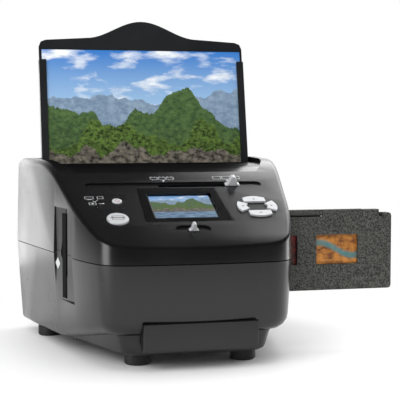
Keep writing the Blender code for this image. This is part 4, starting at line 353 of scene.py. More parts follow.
def landscape(tree, corner, width, height):
    """Colour of a landscape whose lower left corner is at corner."""
    place = add_node(tree, "ShaderNodeTexCoord").outputs["Object"]
    share = add_node(tree, "ShaderNodeMapping", {"Vector": place, "Location": corner,
                                                 "Scale": (width, 1.0, height)},
                     vector_type="TEXTURE").outputs[0]
    split = add_node(tree, "ShaderNodeSeparateXYZ", {"Vector": share})
    across, up = split.outputs["X"], split.outputs["Z"]
    picture = add_node(tree, "ShaderNodeValToRGB", {"Fac": up},
                       stops=((0.55, "#a9cdea"), (1.0, "#2f78c8"))).outputs["Color"]
    long = add_node(tree, "ShaderNodeMapping", {"Vector": share,
                                                "Scale": (1.6, 1.0, 3.4)}).outputs[0]
    cloud = add_node(tree, "ShaderNodeTexNoise", {"Vector": long, "Scale": 2.6, "Detail": 7.0,
                                                  "Roughness": 0.58}).outputs[0]
    veil = add_node(tree, "ShaderNodeMapRange", {"Value": cloud, "From Min": 0.50,
                                                 "From Max": 0.66}).outputs["Result"]
    picture = add_node(tree, "ShaderNodeMix", {0: veil, 6: picture, 7: linear("#f3f6f9")},
                       data_type="RGBA").outputs[2]
    for level, wobble, scale, offset, dark, light, grain in RIDGES:
        shifted = add_node(tree, "ShaderNodeMath", {0: across, 1: offset}).outputs[0]
        line = add_node(tree, "ShaderNodeTexNoise", {"W": shifted, "Scale": scale, "Detail": 6.0},
                        noise_dimensions="1D")
        crest = add_node(tree, "ShaderNodeMapRange", {"Value": line.outputs[0],
                                                      "To Min": level - wobble,
                                                      "To Max": level + wobble}).outputs["Result"]
        speck = add_node(tree, "ShaderNodeTexNoise", {"Vector": share, "Scale": grain,
                                                      "Detail": 5.0, "Roughness": 0.7}).outputs[0]
        rough_edge = add_node(tree, "ShaderNodeMath", {0: speck, 1: 0.05, 2: crest},
                              operation="MULTIPLY_ADD").outputs[0]
        below = add_node(tree, "ShaderNodeMath", {0: up, 1: rough_edge},
                         operation="LESS_THAN").outputs[0]
        cover = add_node(tree, "ShaderNodeValToRGB", {"Fac": speck},
                         stops=((0.36, dark), (0.64, light))).outputs["Color"]
        picture = add_node(tree, "ShaderNodeMix", {0: below, 6: picture, 7: cover},
                           data_type="RGBA").outputs[2]
    flat = add_node(tree, "ShaderNodeMapping", {"Vector": share,
                                                "Scale": (3.0, 1.0, 30.0)}).outputs[0]
    ripple = add_node(tree, "ShaderNodeTexNoise", {"Vector": flat, "Scale": 2.0,
                                                   "Detail": 4.0}).outputs[0]
    water = add_node(tree, "ShaderNodeValToRGB", {"Fac": ripple},
                     stops=((0.38, "#33506e"), (0.66, "#8fb0cc"))).outputs["Color"]
    shore = add_node(tree, "ShaderNodeMath", {0: ripple, 1: 0.03, 2: 0.15},
                     operation="MULTIPLY_ADD").outputs[0]
    lake = add_node(tree, "ShaderNodeMath", {0: up, 1: shore}, operation="LESS_THAN").outputs[0]
    return add_node(tree, "ShaderNodeMix", {0: lake, 6: picture, 7: water},
                    data_type="RGBA").outputs[2]


# %% [markdown]
# ## Paper, screen, light panel and slides
# The print is glossy photo paper: the picture lies under a clear gelatine coat. The screen glows,
# so its picture is emission, about as bright as a white card beside it. A mounted slide is a grey
# frame with a chip of film in its window.

# %% Print and screen materials
PRINT_LOW, PRINT_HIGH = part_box("photo_print")
SCREEN_WIDTH, SCREEN_HEIGHT = 47.6, 36.0
SCREEN_LOW_U = 0.2


def photo_paper():
    material, tree, shader = blank("glossy_photo_paper")
    size = [high - low for low, high in zip(PRINT_LOW, PRINT_HIGH)]
    colour = landscape(tree, tuple(PRINT_LOW), size[0], size[2])
    tree.links.new(colour, shader.inputs["Base Color"])
    shader.inputs["Roughness"].default_value = 0.32
    shader.inputs["Coat Weight"].default_value = 0.4
    shader.inputs["Coat Roughness"].default_value = 0.12
    return material, "photo_paper"


def screen_picture():
    material, tree, shader = blank("lcd_picture")
    corner = on_panel(-SCREEN_WIDTH / 2, SCREEN_LOW_U)
    colour = landscape(tree, tuple(corner), SCREEN_WIDTH * MM, SCREEN_HEIGHT * MM * sin(PANEL_TILT))
    shader.inputs["Base Color"].default_value = linear("#08090b")
    tree.links.new(colour, shader.inputs["Emission Color"])
    shader.inputs["Emission Strength"].default_value = 0.95
    shader.inputs["Roughness"].default_value = 0.3
    return material, "inner_black"


def opal_light():
    material, tree, shader = blank("opal_acrylic_light")
    place = add_node(tree, "ShaderNodeTexCoord").outputs["Object"]
    cells = add_node(tree, "ShaderNodeTexNoise", {"Vector": place, "Scale": 1 / (9 * MM)})
    tint = add_node(tree, "ShaderNodeValToRGB", {"Fac": cells.outputs[0]},
                    stops=((0.3, "#dfe4e8"), (0.7, "#f2f4f6")))
    tree.links.new(tint.outputs["Color"], shader.inputs["Base Color"])
    tree.links.new(tint.outputs["Color"], shader.inputs["Emission Color"])
    shader.inputs["Emission Strength"].default_value = 0.4
    return material, "white_plastic"


PHOTO_PAPER = photo_paper()
LCD_PICTURE = screen_picture()
OPAL_LIGHT = opal_light()

# %% Slide materials
FILM_WIDTH, FILM_HEIGHT = 35.6, 23.6
FILMS = {
    "slide_1": ("#5a2a12", "#d08a3a", "#2f7f86", 3.0),
    "slide_2": ("#190606", "#7c1f16", "#2a0c10", 7.0),
    "slide_3": ("#14212e", "#b9b06a", "#4a6a3a", 11.0),
}


def mounted_film(name, shadow, sunlit, stream, offset):
    """Grey mount outside the window; a blotched scene with one curved band inside it."""
    material, tree, shader = blank("mounted_film_" + name)
    low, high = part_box(name)
    centre = (Vector(low) + Vector(high)) / 2
    place = add_node(tree, "ShaderNodeTexCoord").outputs["Object"]
    share = add_node(tree, "ShaderNodeMapping", {"Vector": place, "Location": tuple(centre),
                                                 "Scale": (FILM_WIDTH / 2 * MM, 1.0,
                                                           FILM_HEIGHT / 2 * MM)},
                     vector_type="TEXTURE").outputs[0]
    split = add_node(tree, "ShaderNodeSeparateXYZ", {"Vector": share})
    moved = add_node(tree, "ShaderNodeMapping", {"Vector": share,
                                                 "Location": (offset, 0.0, offset)}).outputs[0]
    blot = add_node(tree, "ShaderNodeTexNoise", {"Vector": moved, "Scale": 2.4, "Detail": 7.0,
                                                 "Roughness": 0.65}).outputs[0]
    scene = add_node(tree, "ShaderNodeValToRGB", {"Fac": blot},
                     stops=((0.36, shadow), (0.62, sunlit))).outputs["Color"]
    bend = add_node(tree, "ShaderNodeMath", {0: split.outputs["X"], 1: 2.0},
                    operation="MULTIPLY").outputs[0]
    wave = add_node(tree, "ShaderNodeMath", {0: bend}, operation="SINE").outputs[0]
    middle = add_node(tree, "ShaderNodeMath", {0: wave, 1: 0.45, 2: split.outputs["Z"]},
                      operation="MULTIPLY_ADD").outputs[0]
    away = add_node(tree, "ShaderNodeMath", {0: middle}, operation="ABSOLUTE").outputs[0]
    band = add_node(tree, "ShaderNodeMapRange", {"Value": away, "From Min": 0.30, "From Max": 0.12,
                                                 "To Max": 0.8}).outputs["Result"]
    scene = add_node(tree, "ShaderNodeMix", {0: band, 6: scene, 7: linear(stream)},
                     data_type="RGBA").outputs[2]
    sides = [add_node(tree, "ShaderNodeMath", {0: split.outputs[axis]},
                      operation="ABSOLUTE").outputs[0] for axis in ("X", "Z")]
    reach = add_node(tree, "ShaderNodeMath", {0: sides[0], 1: sides[1]},
                     operation="MAXIMUM").outputs[0]
    outside = add_node(tree, "ShaderNodeMath", {0: reach, 1: 1.0},
                       operation="GREATER_THAN").outputs[0]
    fibre = add_node(tree, "ShaderNodeTexNoise", {"Vector": place,
                                                  "Scale": 1 / (0.8 * MM)}).outputs[0]
    mount = add_node(tree, "ShaderNodeValToRGB", {"Fac": fibre},
                     stops=((0.3, "#4a4642"), (0.7, "#575350"))).outputs["Color"]
    colour = add_node(tree, "ShaderNodeMix", {0: outside, 6: scene, 7: mount},
                      data_type="RGBA").outputs[2]
    tree.links.new(colour, shader.inputs["Base Color"])
    shader.inputs["Roughness"].default_value = 0.28
    return material, "slide_mount"


FILM_FINISHES = {name: mounted_film(name, *look) for name, look in FILMS.items()}
print("slide finishes made:", len(FILM_FINISHES))

# %% [markdown]
# ## Dressing the moulded pieces
# A tool maker rounds every edge of a moulded piece a little, because melt doesn't fill a knife
# edge, and those small rounds are what catches the light. The CAD shapes are right but sharp, so
# each is copied, its loose triangles are merged, flat faces are joined up again, and a bevel of a
# fraction of a millimetre is applied before it is shaded smooth.

# %% Copy, merge and round
MERGE = 0.002
FLAT = radians(0.4)
WHOLE_FACETS = ("lower_housing", "upper_housing")      # their curves keep every facet
SHELL_SMOOTH = radians(24)


def copied(names, flat=FLAT):
    """One merged copy of CAD nodes, free of their links to the frame."""
    pick(*[NODES[name] for name in names])
    bpy.ops.object.duplicate()
    if len(names) > 1:
        bpy.ops.object.join()
    piece = bpy.context.view_layer.objects.active
    bpy.ops.object.parent_clear(type="CLEAR_KEEP_TRANSFORM")
    for key in [key for key in piece.keys() if key.startswith("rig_")]:
        del piece[key]
    bpy.ops.mesh.customdata_custom_splitnormals_clear()
    bpy.ops.object.mode_set(mode="EDIT")
    bpy.ops.mesh.select_all(action="SELECT")
    bpy.ops.mesh.remove_doubles(threshold=MERGE * MM)
    if flat:
        bpy.ops.mesh.dissolve_limited(angle_limit=flat)
    bpy.ops.object.mode_set(mode="OBJECT")
    return piece


def dress(node, name, finish, body, round_mm=0.0, segments=2):
    """Copies a node, rounds its edges if a width is given, and shades it smooth."""
    piece = copied([node], None if node in WHOLE_FACETS else FLAT)
    if round_mm:
        bevel(piece, round_mm, segments)
    if node in WHOLE_FACETS:
        pick(piece)
        bpy.ops.object.shade_smooth_by_angle(angle=SHELL_SMOOTH)
    else:
        smooth(piece)
    return wear(piece, name, finish, body, node)


DRESSED = (
    # node, piece, finish, body, rounding in mm
    ("lower_housing", "housing_bowl", HOUSING_ABS, "scanner", 0.0),
    ("upper_housing", "housing_top", HOUSING_ABS, "scanner", 0.0),
    ("front_plinth", "plinth", HOUSING_ABS, "scanner", 0.0),
    ("back_plate", "socket_plate", HOUSING_ABS, "scanner", 0.3),
    ("display_bezel", "screen_bezel", GLOSS_ABS, "scanner", 0.3),
    ("display_window", "screen_window", ACRYLIC, "scanner", 0.2),
    ("film_channel", "film_guide", INNER_ABS, "scanner", 0.0),
    ("optics_bracket", "lens_bracket", INNER_ABS, "scanner", 0.0),
    ("sensor_board", "sensor_card", SOLDER_MASK, "scanner", 0.0),
    ("main_board", "processor_card", SOLDER_MASK, "scanner", 0.0),
    ("io_board", "socket_card", SOLDER_MASK, "scanner", 0.0),
    ("button_board_left", "key_card_left", SOLDER_MASK, "scanner", 0.0),
    ("button_board_right", "key_card_right", SOLDER_MASK, "scanner", 0.0),
    ("status_light", "status_lens", ACRYLIC, "scanner", 0.0),
    ("backlight_rod", "lever_rod", ZINC_STEEL, "scanner", 0.0),
    ("card_socket", "card_slot_shell", ZINC_STEEL, "scanner", 0.0),
    ("usb_socket", "cable_socket_shell", ZINC_STEEL, "scanner", 0.0),
    ("tray_guide_left", "tray_rail_left", INNER_ABS, "scanner", 0.2),
    ("tray_guide_right", "tray_rail_right", INNER_ABS, "scanner", 0.2),
    ("photo_light_left", "print_light_left", OPAL_LIGHT, "scanner", 0.1),
    ("photo_light_right", "print_light_right", OPAL_LIGHT, "scanner", 0.1),
    ("photo_tray", "tray_plate", TRAY_ABS, "photo_tray", 0.35),
    ("photo_print", "print_in_tray", PHOTO_PAPER, "photo_print", 0.0),
    ("holder_front_leaf", "front_leaf", HOLDER_ABS, "slide_holder", 0.3),
    ("holder_rear_leaf", "rear_leaf", HOLDER_ABS, "slide_holder", 0.3),
    ("holder_hinge_pin", "leaf_pin", ZINC_STEEL, "slide_holder", 0.0),
    ("slide_1", "mounted_slide_1", FILM_FINISHES["slide_1"], "slide_holder", 0.2),
    ("slide_2", "mounted_slide_2", FILM_FINISHES["slide_2"], "slide_holder", 0.2),
    ("slide_3", "mounted_slide_3", FILM_FINISHES["slide_3"], "slide_holder", 0.2),
    ("backlight_carriage", "light_frame", INNER_ABS, "backlight", 0.2),
    ("backlight_diffuser", "light_sheet", OPAL_LIGHT, "backlight", 0.2),
    ("backlight_knob", "selector_knob", SILVER_PAINT, "backlight", 0.45),
    ("focus_plate", "focus_slider", ZINC_STEEL, "focus_lever", 0.0),
    ("focus_knob", "focus_grip", SILVER_PAINT, "focus_lever", 0.3),
    ("lens_barrel", "lens_tube", INNER_ABS, "lens", 0.2),
    ("lens_glass", "lens_front", ACRYLIC, "lens", 0.0),
    ("nav_button_up", "key_up", SILVER_PAINT, "nav_button_up", 0.35),
    ("nav_button_down", "key_down", SILVER_PAINT, "nav_button_down", 0.35),
    ("nav_button_left", "key_left", SILVER_PAINT, "nav_button_left", 0.35),
    ("nav_button_right", "key_right", SILVER_PAINT, "nav_button_right", 0.35),
    ("power_button", "power_key", SILVER_PAINT, "power_button", 0.3),
    ("scan_button", "scan_key", SILVER_PAINT, "scan_button", 0.4),
)

PIECES = {}
for node, name, finish, body, round_mm in DRESSED:
    PIECES[name] = dress(node, name, finish, body, round_mm)
for end in ("front", "rear"):
    for side in ("left", "right"):
        foot = f"foot_{end}_{side}"
        PIECES[foot] = dress(foot, f"rubber_{foot}", RUBBER, "scanner", 0.4)
        screw = f"housing_screw_{end}_{side}"
        PIECES[screw] = dress(screw, f"screw_{end}_{side}", ZINC_STEEL, "scanner", 0.1)
print("dressed pieces:", len(PIECES))

# %% [markdown]
# ## Screen picture
# Behind the window lies the display, whose lit face is a thin plate. It starts as a flat block on
# the panel's slope and gets a small chamfer on its rim. A dark border stays round it, where the
# real display has its drive lines.

# %% Screen plate
SCREEN_DEPTH = 0.10
SCREEN_MIDDLE_U = SCREEN_LOW_U + SCREEN_HEIGHT / 2
SCREEN_W = -2.62


def panel_block(width, length, height, x, u, w):
    """Block on the panel, given by its size in millimetres and the middle of its underside."""
    bpy.ops.object.select_all(action="DESELECT")
    bpy.ops.mesh.primitive_cube_add(size=1.0, location=on_panel(x, u, w + height / 2),
                                    rotation=(PANEL_TILT, 0.0, 0.0),
                                    scale=(width * MM, length * MM, height * MM))
    piece = bpy.context.view_layer.objects.active
    settle(piece)
    return piece


screen = panel_block(SCREEN_WIDTH, SCREEN_HEIGHT, SCREEN_DEPTH, 0, SCREEN_MIDDLE_U, SCREEN_W)
bevel(screen, 0.03, 1)
wear(screen, "screen_picture", LCD_PICTURE, "scanner")
module = dress("display_module", "screen_module", INNER_ABS, "scanner", 0.2)
print("screen plate:", SCREEN_WIDTH, "x", SCREEN_HEIGHT, "mm")

# %% [markdown]
# ## Painted shade in the side scoops
# The slides pass through a slot at the deep end of a scoop in each side. The mouth of that slot
# lies in shade, so a strip of matt black lies along the ramp as painted shade. Each strip starts as
# a block that is half sunk in the ramp of its scoop, and all its edges are rounded a little.

# %% Painted shade strips
RAMP_X, RAMP_TURN = 90.16, 0.2629          # ramp at the zero plane, and its turn towards the front
SHADE_STRIP_Y, SHADE_STRIP_Z = -11.3, 74.0
SHADE_STRIP_WIDTH, SHADE_STRIP_HEIGHT, SHADE_STRIP_DEPTH = 7.4, 65.5, 0.9


def ramp_place(side):
    """Frame on the ramp of one scoop: its third axis stands out of the plastic."""
    out = Vector((side * cos(RAMP_TURN), -sin(RAMP_TURN), 0.0))
    up = Vector((0.0, 0.0, 1.0))
    along = up.cross(out)
    start = on_case(side * RAMP_X, 0.0, 0.0)
    turn = Matrix((along, up, out)).transposed().to_4x4()
    return Matrix.Translation(start) @ turn, along.y


def block(place, corner_low, corner_high):
    """Block between two corners in millimetres, in the frame of a place."""
    bpy.ops.object.select_all(action="DESELECT")
    bpy.ops.mesh.primitive_cube_add(size=1.0)
    piece = bpy.context.view_layer.objects.active
    low, high = Vector(corner_low), Vector(corner_high)
    piece.scale = (high - low) * MM
    piece.location = (high + low) / 2 * MM
    settle(piece)
    piece.matrix_world = place
    settle(piece)
    return piece


# Each strip is painted shade: a black sheet where the slot's mouth lies in shadow.
for tag, side in (("left", -1), ("right", 1)):
    place, along_y = ramp_place(side)
    middle = SHADE_STRIP_Y / along_y
    shade_strip = block(place, (middle - SHADE_STRIP_WIDTH / 2, SHADE_STRIP_Z - SHADE_STRIP_HEIGHT / 2, -SHADE_STRIP_DEPTH / 2),
                 (middle + SHADE_STRIP_WIDTH / 2, SHADE_STRIP_Z + SHADE_STRIP_HEIGHT / 2, SHADE_STRIP_DEPTH / 2))
    bevel(shade_strip, 0.3, 2)
    smooth(shade_strip)
    wear(shade_strip, f"slot_seal_{tag}", SLOT_SHADE_BLACK, "scanner")
print("slot seals: 2, each", SHADE_STRIP_HEIGHT, "mm long")

# %% [markdown]
# ## Printed lines, pictograms and a painted highlight
# The panel is printed in one light grey ink. A printed line is a few hundredths of a millimetre
# thick, so each is a flat strip that sinks a little into the plastic. A strip starts as a poly
# curve with a round section, is made a mesh, pressed flat and laid on the slope. The words of a
# real panel are left off here, and small generic pictures stand in their places. One more strip in
# the same ink runs over the top of the keys in the centre. It is a painted highlight along the
# upper edge round those keys, not print.

# %% Strokes and dots
INK_SHARE = 0.16            # thickness of a printed line to its width
PANEL_MARKS_AND_HIGHLIGHT = []


def stroke(points, width, place=PANEL_PLACE, closed=False, flat=INK_SHARE, lift=0.0):
    """Flat line through points in millimetres, in the plane of the panel or another place: print,
    and one painted highlight.
    """
    bpy.ops.object.select_all(action="DESELECT")
    bpy.ops.curve.primitive_nurbs_path_add()
    line = bpy.context.view_layer.objects.active
    line.data.splines.clear()
    spline = line.data.splines.new("POLY")
    spline.points.add(len(points) - 1)
    for point, (x, u) in zip(spline.points, points):
        point.co = (x * MM, u * MM, 0.0, 1.0)
    spline.use_cyclic_u = closed
    line.data.bevel_depth = width / 2 * MM
    line.data.bevel_resolution = 1
    line.data.use_fill_caps = True
    bpy.ops.object.convert(target="MESH")
    line.scale = (1.0, 1.0, flat)
    settle(line)
    line.matrix_world = place @ Matrix.Translation((0.0, 0.0, lift * MM))
    settle(line)
    return line


def dot(x, u, radius, sides=20, turn=0.0, place=PANEL_PLACE, lift=0.0, height=0.08):
    """Printed dot, or a triangle with three sides."""
    bpy.ops.object.select_all(action="DESELECT")
    bpy.ops.mesh.primitive_cylinder_add(vertices=sides, radius=radius * MM, depth=height * MM)
    mark = bpy.context.view_layer.objects.active
    mark.matrix_world = (place @ Matrix.Translation(Vector((x, u, lift)) * MM)
                         @ Matrix.Rotation(turn, 4, "Z"))
    settle(mark)
    return mark


def arc(x, u, radius, start, end, steps=14):
    angles = [radians(start + (end - start) * i / steps) for i in range(steps + 1)]
    return [(x + radius * cos(a), u + radius * sin(a)) for a in angles]


def box_line(x, u, width, length):
    return [(x - width / 2, u - length / 2), (x + width / 2, u - length / 2),
            (x + width / 2, u + length / 2), (x - width / 2, u + length / 2)]


# %% Pictograms
THIN, MEDIUM, BOLD = 0.35, 0.55, 0.75


def film_strip(x, u, frames, size):
    """Row of film frames with sprocket holes above and below."""
    marks = []
    for i in range(frames):
        middle = x + (i - (frames - 1) / 2) * size * 1.5
        marks.append(stroke(box_line(middle, u, size * 1.25, size * 0.8), MEDIUM, closed=True))
        for step in (-0.35, 0.35):
            for side in (-1, 1):
                marks.append(dot(middle + step * size, u + side * size * 0.68, 0.28, 8))
    return marks


def picture_row(x, u, frames, size):
    """Row of framed prints, each with a hill line."""
    marks = []
    for i in range(frames):
        middle = x + (i - (frames - 1) / 2) * size * 1.75
        marks.append(stroke(box_line(middle, u, size * 1.5, size * 1.05), MEDIUM, closed=True))
        hill = [(middle - size * 0.6, u - size * 0.3), (middle - size * 0.15, u + size * 0.2),
                (middle + size * 0.1, u - size * 0.05), (middle + size * 0.3, u + size * 0.1),
                (middle + size * 0.6, u - size * 0.3)]
        marks.append(stroke(hill, THIN))
    return marks


PANEL_MARKS_AND_HIGHLIGHT += film_strip(-8.0, 62.0, 3, 4.4)
PANEL_MARKS_AND_HIGHLIGHT += [dot(-7.6, 57.6, 1.3, 3, pi)]
PANEL_MARKS_AND_HIGHLIGHT += picture_row(44.6, 62.0, 3, 4.4)
PANEL_MARKS_AND_HIGHLIGHT += [dot(44.6, 57.6, 1.3, 3, pi)]
PANEL_MARKS_AND_HIGHLIGHT += film_strip(-29.8, -23.6, 4, 3.4)
PANEL_MARKS_AND_HIGHLIGHT += [stroke([(-42.0, -27.4), (-17.3, -27.8), (-3.2, -29.2)], THIN)]
PANEL_MARKS_AND_HIGHLIGHT += picture_row(29.6, -23.4, 4, 3.4)
PANEL_MARKS_AND_HIGHLIGHT += [stroke([(44.6, -27.0), (14.3, -27.2), (3.4, -28.8)], THIN)]
PANEL_MARKS_AND_HIGHLIGHT += [dot(-2.2, -28.2, 0.7), dot(2.2, -28.0, 0.7)]
PANEL_MARKS_AND_HIGHLIGHT += [stroke([(-68.6, 27.0), (-66.8, 25.2), (-64.2, 28.4)], MEDIUM)]
PANEL_MARKS_AND_HIGHLIGHT += [stroke(box_line(-70.5, 31.6, 6.4, 3.4), MEDIUM, closed=True),
           stroke([(-72.4, 29.0), (-68.6, 29.0)], MEDIUM),
           stroke(box_line(-62.0, 31.6, 4.4, 3.4), MEDIUM, closed=True),
           stroke([(-63.4, 32.6), (-60.6, 32.6)], THIN)]
PANEL_MARKS_AND_HIGHLIGHT += [stroke(box_line(-69.0, 22.4, 5.2, 3.2), MEDIUM, closed=True),
           dot(-69.0, 22.4, 0.7, 12),
           stroke([(-64.6, 22.4), (-60.8, 22.4)], MEDIUM), dot(-60.8, 22.4, 0.9, 3, -pi / 2)]
# Painted highlight: a light line where the upper edge round the four keys catches the light.
PANEL_MARKS_AND_HIGHLIGHT += [stroke([(39.8, 21.6), (52.8, 32.2), (61.8, 32.2), (75.2, 21.6), (75.4, 16.6)], THIN)]
print("printed marks on the panel:", len(PANEL_MARKS_AND_HIGHLIGHT))

# %% Join the print and the painted highlight
pick(*PANEL_MARKS_AND_HIGHLIGHT)
bpy.ops.object.join()
wear(bpy.context.view_layer.objects.active, "panel_print", PALE_INK_AND_HIGHLIGHT, "scanner")

# %% [markdown]
# ## Side mark
# A white diamond on each ramp, printed in the same ink, shows where the holder goes in.

# %% Diamonds on the ramps
DIAMOND_Y, DIAMOND_Z, DIAMOND_RADIUS = 1.6, 66.9, 4.6
for tag, side in (("left", -1), ("right", 1)):
    place, along_y = ramp_place(side)
    diamond = dot(DIAMOND_Y / along_y, DIAMOND_Z, DIAMOND_RADIUS, 4, 0.0, place, 0.0, 0.3)
    wear(diamond, f"holder_mark_{tag}", PALE_INK_AND_HIGHLIGHT, "scanner")
print("holder marks: 2")

# %% [markdown]
# ## Marks on the keys
# Power and scan carry a symbol each, and the four keys round the centre a small arrow. They ride on
# their keys, so they go down with them.

# %% Key marks
def key_marks(name, finish, body, marks):
    pick(*marks)
    if len(marks) > 1:
        bpy.ops.object.join()
    return wear(bpy.context.view_layer.objects.active, name, finish, body)


POWER_X, POWER_U, POWER_TOP = -50.0, 25.3, 0.86
SCAN_X, SCAN_U, SCAN_TOP = -53.9, -2.2, 1.78
key_marks("power_mark", RED_INK, "power_button", [
    stroke(arc(POWER_X, POWER_U, 1.7, 130, 410), 0.5, lift=POWER_TOP),
    stroke([(POWER_X, POWER_U + 0.4), (POWER_X, POWER_U + 2.3)], 0.5, lift=POWER_TOP)])
key_marks("scan_mark", DARK_INK, "scan_button", [
    stroke(box_line(SCAN_X, SCAN_U, 8.4, 5.0), 0.7, closed=True, lift=SCAN_TOP),
    stroke([(SCAN_X - 5.4, SCAN_U), (SCAN_X + 5.4, SCAN_U)], 0.8, lift=SCAN_TOP)])
NAV_X, NAV_U, NAV_TOP = 57.3, 13.0, 1.30
NAV_ARROWS = (("up", 0.0, 10.6, 0.0), ("down", 0.0, -10.6, pi), ("left", -11.4, 0.0, pi / 2),
              ("right", 11.4, 0.0, -pi / 2))
for way, x, u, turn in NAV_ARROWS:
    key_marks(f"arrow_{way}", DARK_INK, f"nav_button_{way}",
              [dot(NAV_X + x, NAV_U + u, 1.1, 3, turn, lift=NAV_TOP)])
print("marked keys:", 2 + len(NAV_ARROWS))

# %% [markdown]
# ## Camera
# The photograph was taken from the front and a little above, with the camera to the left of the
# middle and turned to the right. A long lens keeps the sides nearly upright.

# %% Camera
CAMERA_PLACE = (-0.23608, -0.91538, 0.17722)
bpy.ops.object.camera_add(location=CAMERA_PLACE,
                          rotation=(radians(90 - 3.74), 0.0, radians(-14.25)))
camera = bpy.context.view_layer.objects.active
camera.data.lens = 104.96
camera.data.clip_start = 0.05
camera.data.clip_end = 20.0
bpy.context.scene.camera = camera

# %% [markdown]
# ## Studio
# The scanner stands on a white table. Three soft lamps light it: a large one at the upper left
# front, one at the right and behind, and one overhead. They light matt surfaces only, so that gloss
# shows no square of light. To the camera, and through clear pieces, the surroundings are white.

# %% Table
bpy.ops.mesh.primitive_plane_add(size=30.0, location=(0.0, 0.0, 0.0))
table = bpy.context.view_layer.objects.active
table.name = "table"
SHADOW_REACH = (0.10, 0.30)         # where the table's own light starts and is full, in metres
TABLE_EDGE_Y = (-0.35, -0.80)       # the room in front of the table is dark in reflections


def table_finish():
    """White table that shows the scanner's shadow near it and glows white to the camera far off."""
    material, tree, shader = blank("white_table")
    output = tree.nodes["Material Output"]
    path = add_node(tree, "ShaderNodeLightPath")
    place = add_node(tree, "ShaderNodeTexCoord").outputs["Object"]
    mottle = add_node(tree, "ShaderNodeTexNoise", {"Vector": place, "Scale": 3.0}).outputs[0]
    tint = add_node(tree, "ShaderNodeValToRGB", {"Fac": mottle},
                    stops=((0.3, "#f4f4f4"), (0.7, "#f8f8f8"))).outputs["Color"]
    tree.links.new(tint, shader.inputs["Base Color"])
    shader.inputs["Roughness"].default_value = 0.6
    shader.inputs["Specular IOR Level"].default_value = 0.2
    distance = add_node(tree, "ShaderNodeVectorMath", {0: place},
                        operation="LENGTH").outputs["Value"]
    far = add_node(tree, "ShaderNodeMapRange", {"Value": distance, "From Min": SHADOW_REACH[0],
                                                "From Max": SHADOW_REACH[1]},
                   interpolation_type="SMOOTHSTEP").outputs["Result"]
    glow = add_node(tree, "ShaderNodeEmission", {"Color": linear("#ffffff"), "Strength": 1.0})
    seen = add_node(tree, "ShaderNodeMath", {0: path.outputs["Is Camera Ray"], 1: far},
                    operation="MULTIPLY").outputs[0]
    mixed = add_node(tree, "ShaderNodeMixShader", {0: seen, 1: shader.outputs[0],
                                                   2: glow.outputs[0]})
    split = add_node(tree, "ShaderNodeSeparateXYZ", {"Vector": place})
    front = add_node(tree, "ShaderNodeMapRange", {"Value": split.outputs["Y"],
                                                  "From Min": TABLE_EDGE_Y[0],
                                                  "From Max": TABLE_EDGE_Y[1]},
                     interpolation_type="SMOOTHSTEP").outputs["Result"]
    hidden = add_node(tree, "ShaderNodeMath", {0: path.outputs["Is Glossy Ray"], 1: front},
                      operation="MULTIPLY").outputs[0]
    dark = add_node(tree, "ShaderNodeEmission", {"Color": linear("#202020"), "Strength": 1.0})
    whole = add_node(tree, "ShaderNodeMixShader", {0: hidden, 1: mixed.outputs[0],
                                                   2: dark.outputs[0]})
    tree.links.new(whole.outputs[0], output.inputs["Surface"])
    return material


table.data.materials.append(table_finish())

# %% [markdown]
# ## Surroundings
# Black gloss plastic shows its surroundings more than its own colour. A product photographer puts
# white sheets behind and beside the object and leaves the room in front dark, so that the outline
# glows and the front stays deep black. The world does that for glossy rays: bright low at the back,
# dark in front, at the left and overhead. Other rays get one even light.

# %% World
ROOM_LIGHT = 0.62
BACK_LIGHT, FRONT_LIGHT, OVERHEAD_SHARE = 1.5, 0.04, 0.06
world = bpy.data.worlds.new("studio")
bpy.context.scene.world = world
world.use_nodes = True
tree = world.node_tree
path = add_node(tree, "ShaderNodeLightPath")
way = add_node(tree, "ShaderNodeTexCoord").outputs["Generated"]
split = add_node(tree, "ShaderNodeSeparateXYZ", {"Vector": way})


def ramp(value, start, end, low=0.0, high=1.0):
    """Smooth change from low to high while the value goes from start to end."""
    return add_node(tree, "ShaderNodeMapRange", {"Value": value, "From Min": start, "From Max": end,
                                                 "To Min": low, "To Max": high},
                    interpolation_type="SMOOTHSTEP").outputs["Result"]


def times(first, second):
    return add_node(tree, "ShaderNodeMath", {0: first, 1: second}, operation="MULTIPLY").outputs[0]


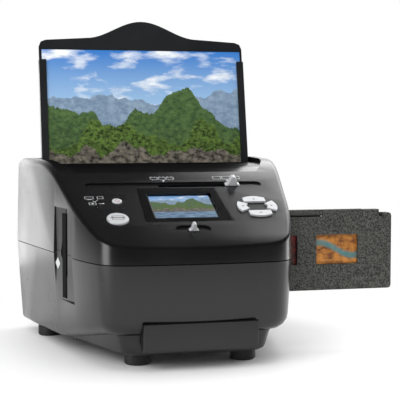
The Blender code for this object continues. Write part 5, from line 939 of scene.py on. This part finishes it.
sheet = times(times(ramp(split.outputs["Y"], 0.10, 0.95, FRONT_LIGHT, BACK_LIGHT),
                    ramp(split.outputs["Z"], 0.10, 0.62, 1.0, OVERHEAD_SHARE)),
              ramp(split.outputs["X"], -0.62, -0.12, 0.12, 1.0))
clear = add_node(tree, "ShaderNodeMath", {0: path.outputs["Is Camera Ray"],
                                          1: path.outputs["Is Transmission Ray"]},
                 operation="MAXIMUM").outputs[0]
glossy = add_node(tree, "ShaderNodeMix", {0: path.outputs["Is Glossy Ray"], 2: ROOM_LIGHT,
                                          3: sheet}, data_type="FLOAT").outputs[0]
strength = add_node(tree, "ShaderNodeMix", {0: clear, 2: glossy, 3: 1.0},
                    data_type="FLOAT").outputs[0]
background = tree.nodes["Background"]
background.inputs["Color"].default_value = linear("#ffffff")
tree.links.new(strength, background.inputs["Strength"])

# %% Lamps
AIM = Vector((-0.02, 0.0, 0.10))
LAMPS = (           # name, place, size in metres, power in watts
    ("key", (-0.75, -0.85, 0.85), 1.0, 9.0),
    ("side", (0.95, 0.35, 0.55), 0.8, 7.0),
    ("top", (0.0, 0.1, 1.25), 1.1, 7.0),
)
for name, place, size, power in LAMPS:
    aim = (AIM - Vector(place)).to_track_quat("-Z", "Y").to_euler()
    bpy.ops.object.light_add(type="AREA", location=place, rotation=aim)
    lamp = bpy.context.view_layer.objects.active
    lamp.name = name
    lamp.data.size = size
    lamp.data.energy = power
    lamp.visible_glossy = False
bpy.context.scene.view_settings.view_transform = "Standard"
print("lamps:", len(LAMPS))

# %% [markdown]
# ## White cards
# Gloss black is drawn by what stands around it. White cards beside the scanner make the bright
# corners, the light rear of its side and the pale shoulder, as in a studio. They are lamps that
# only gloss can see, so they add no light to matt surfaces. The print is kept out of gloss too, as
# its picture would lie over the dark recess in front of the tray.

# %% Cards
CARDS = (           # name, middle, point it faces, width and height in metres, brightness
    ("corner_card", (-0.64, -0.19, 0.13), (-0.14, -0.11, 0.10), 0.26, 0.26, 5.0),
    ("right_card", (0.50, 0.08, 0.11), (0.04, -0.10, 0.09), 0.22, 0.22, 4.0),
    ("rear_card", (-0.245, 0.45, 0.12), (-0.14, 0.08, 0.10), 0.22, 0.24, 1.8),
    ("shoulder_card", (0.53, 0.74, 0.75), (0.05, 0.02, 0.14), 0.56, 0.56, 3.4),
)
for name, place, target, width, height, brightness in CARDS:
    aim = (Vector(target) - Vector(place)).to_track_quat("-Z", "Y").to_euler()
    bpy.ops.object.light_add(type="AREA", location=place, rotation=aim)
    card = bpy.context.view_layer.objects.active
    card.name = name
    card.data.shape = "RECTANGLE"
    card.data.size = width
    card.data.size_y = height
    card.data.energy = brightness * pi * width * height
    card.visible_camera = False
    card.visible_diffuse = False
    card.visible_transmission = False
PIECES["print_in_tray"].visible_glossy = False
print("cards:", len(CARDS))
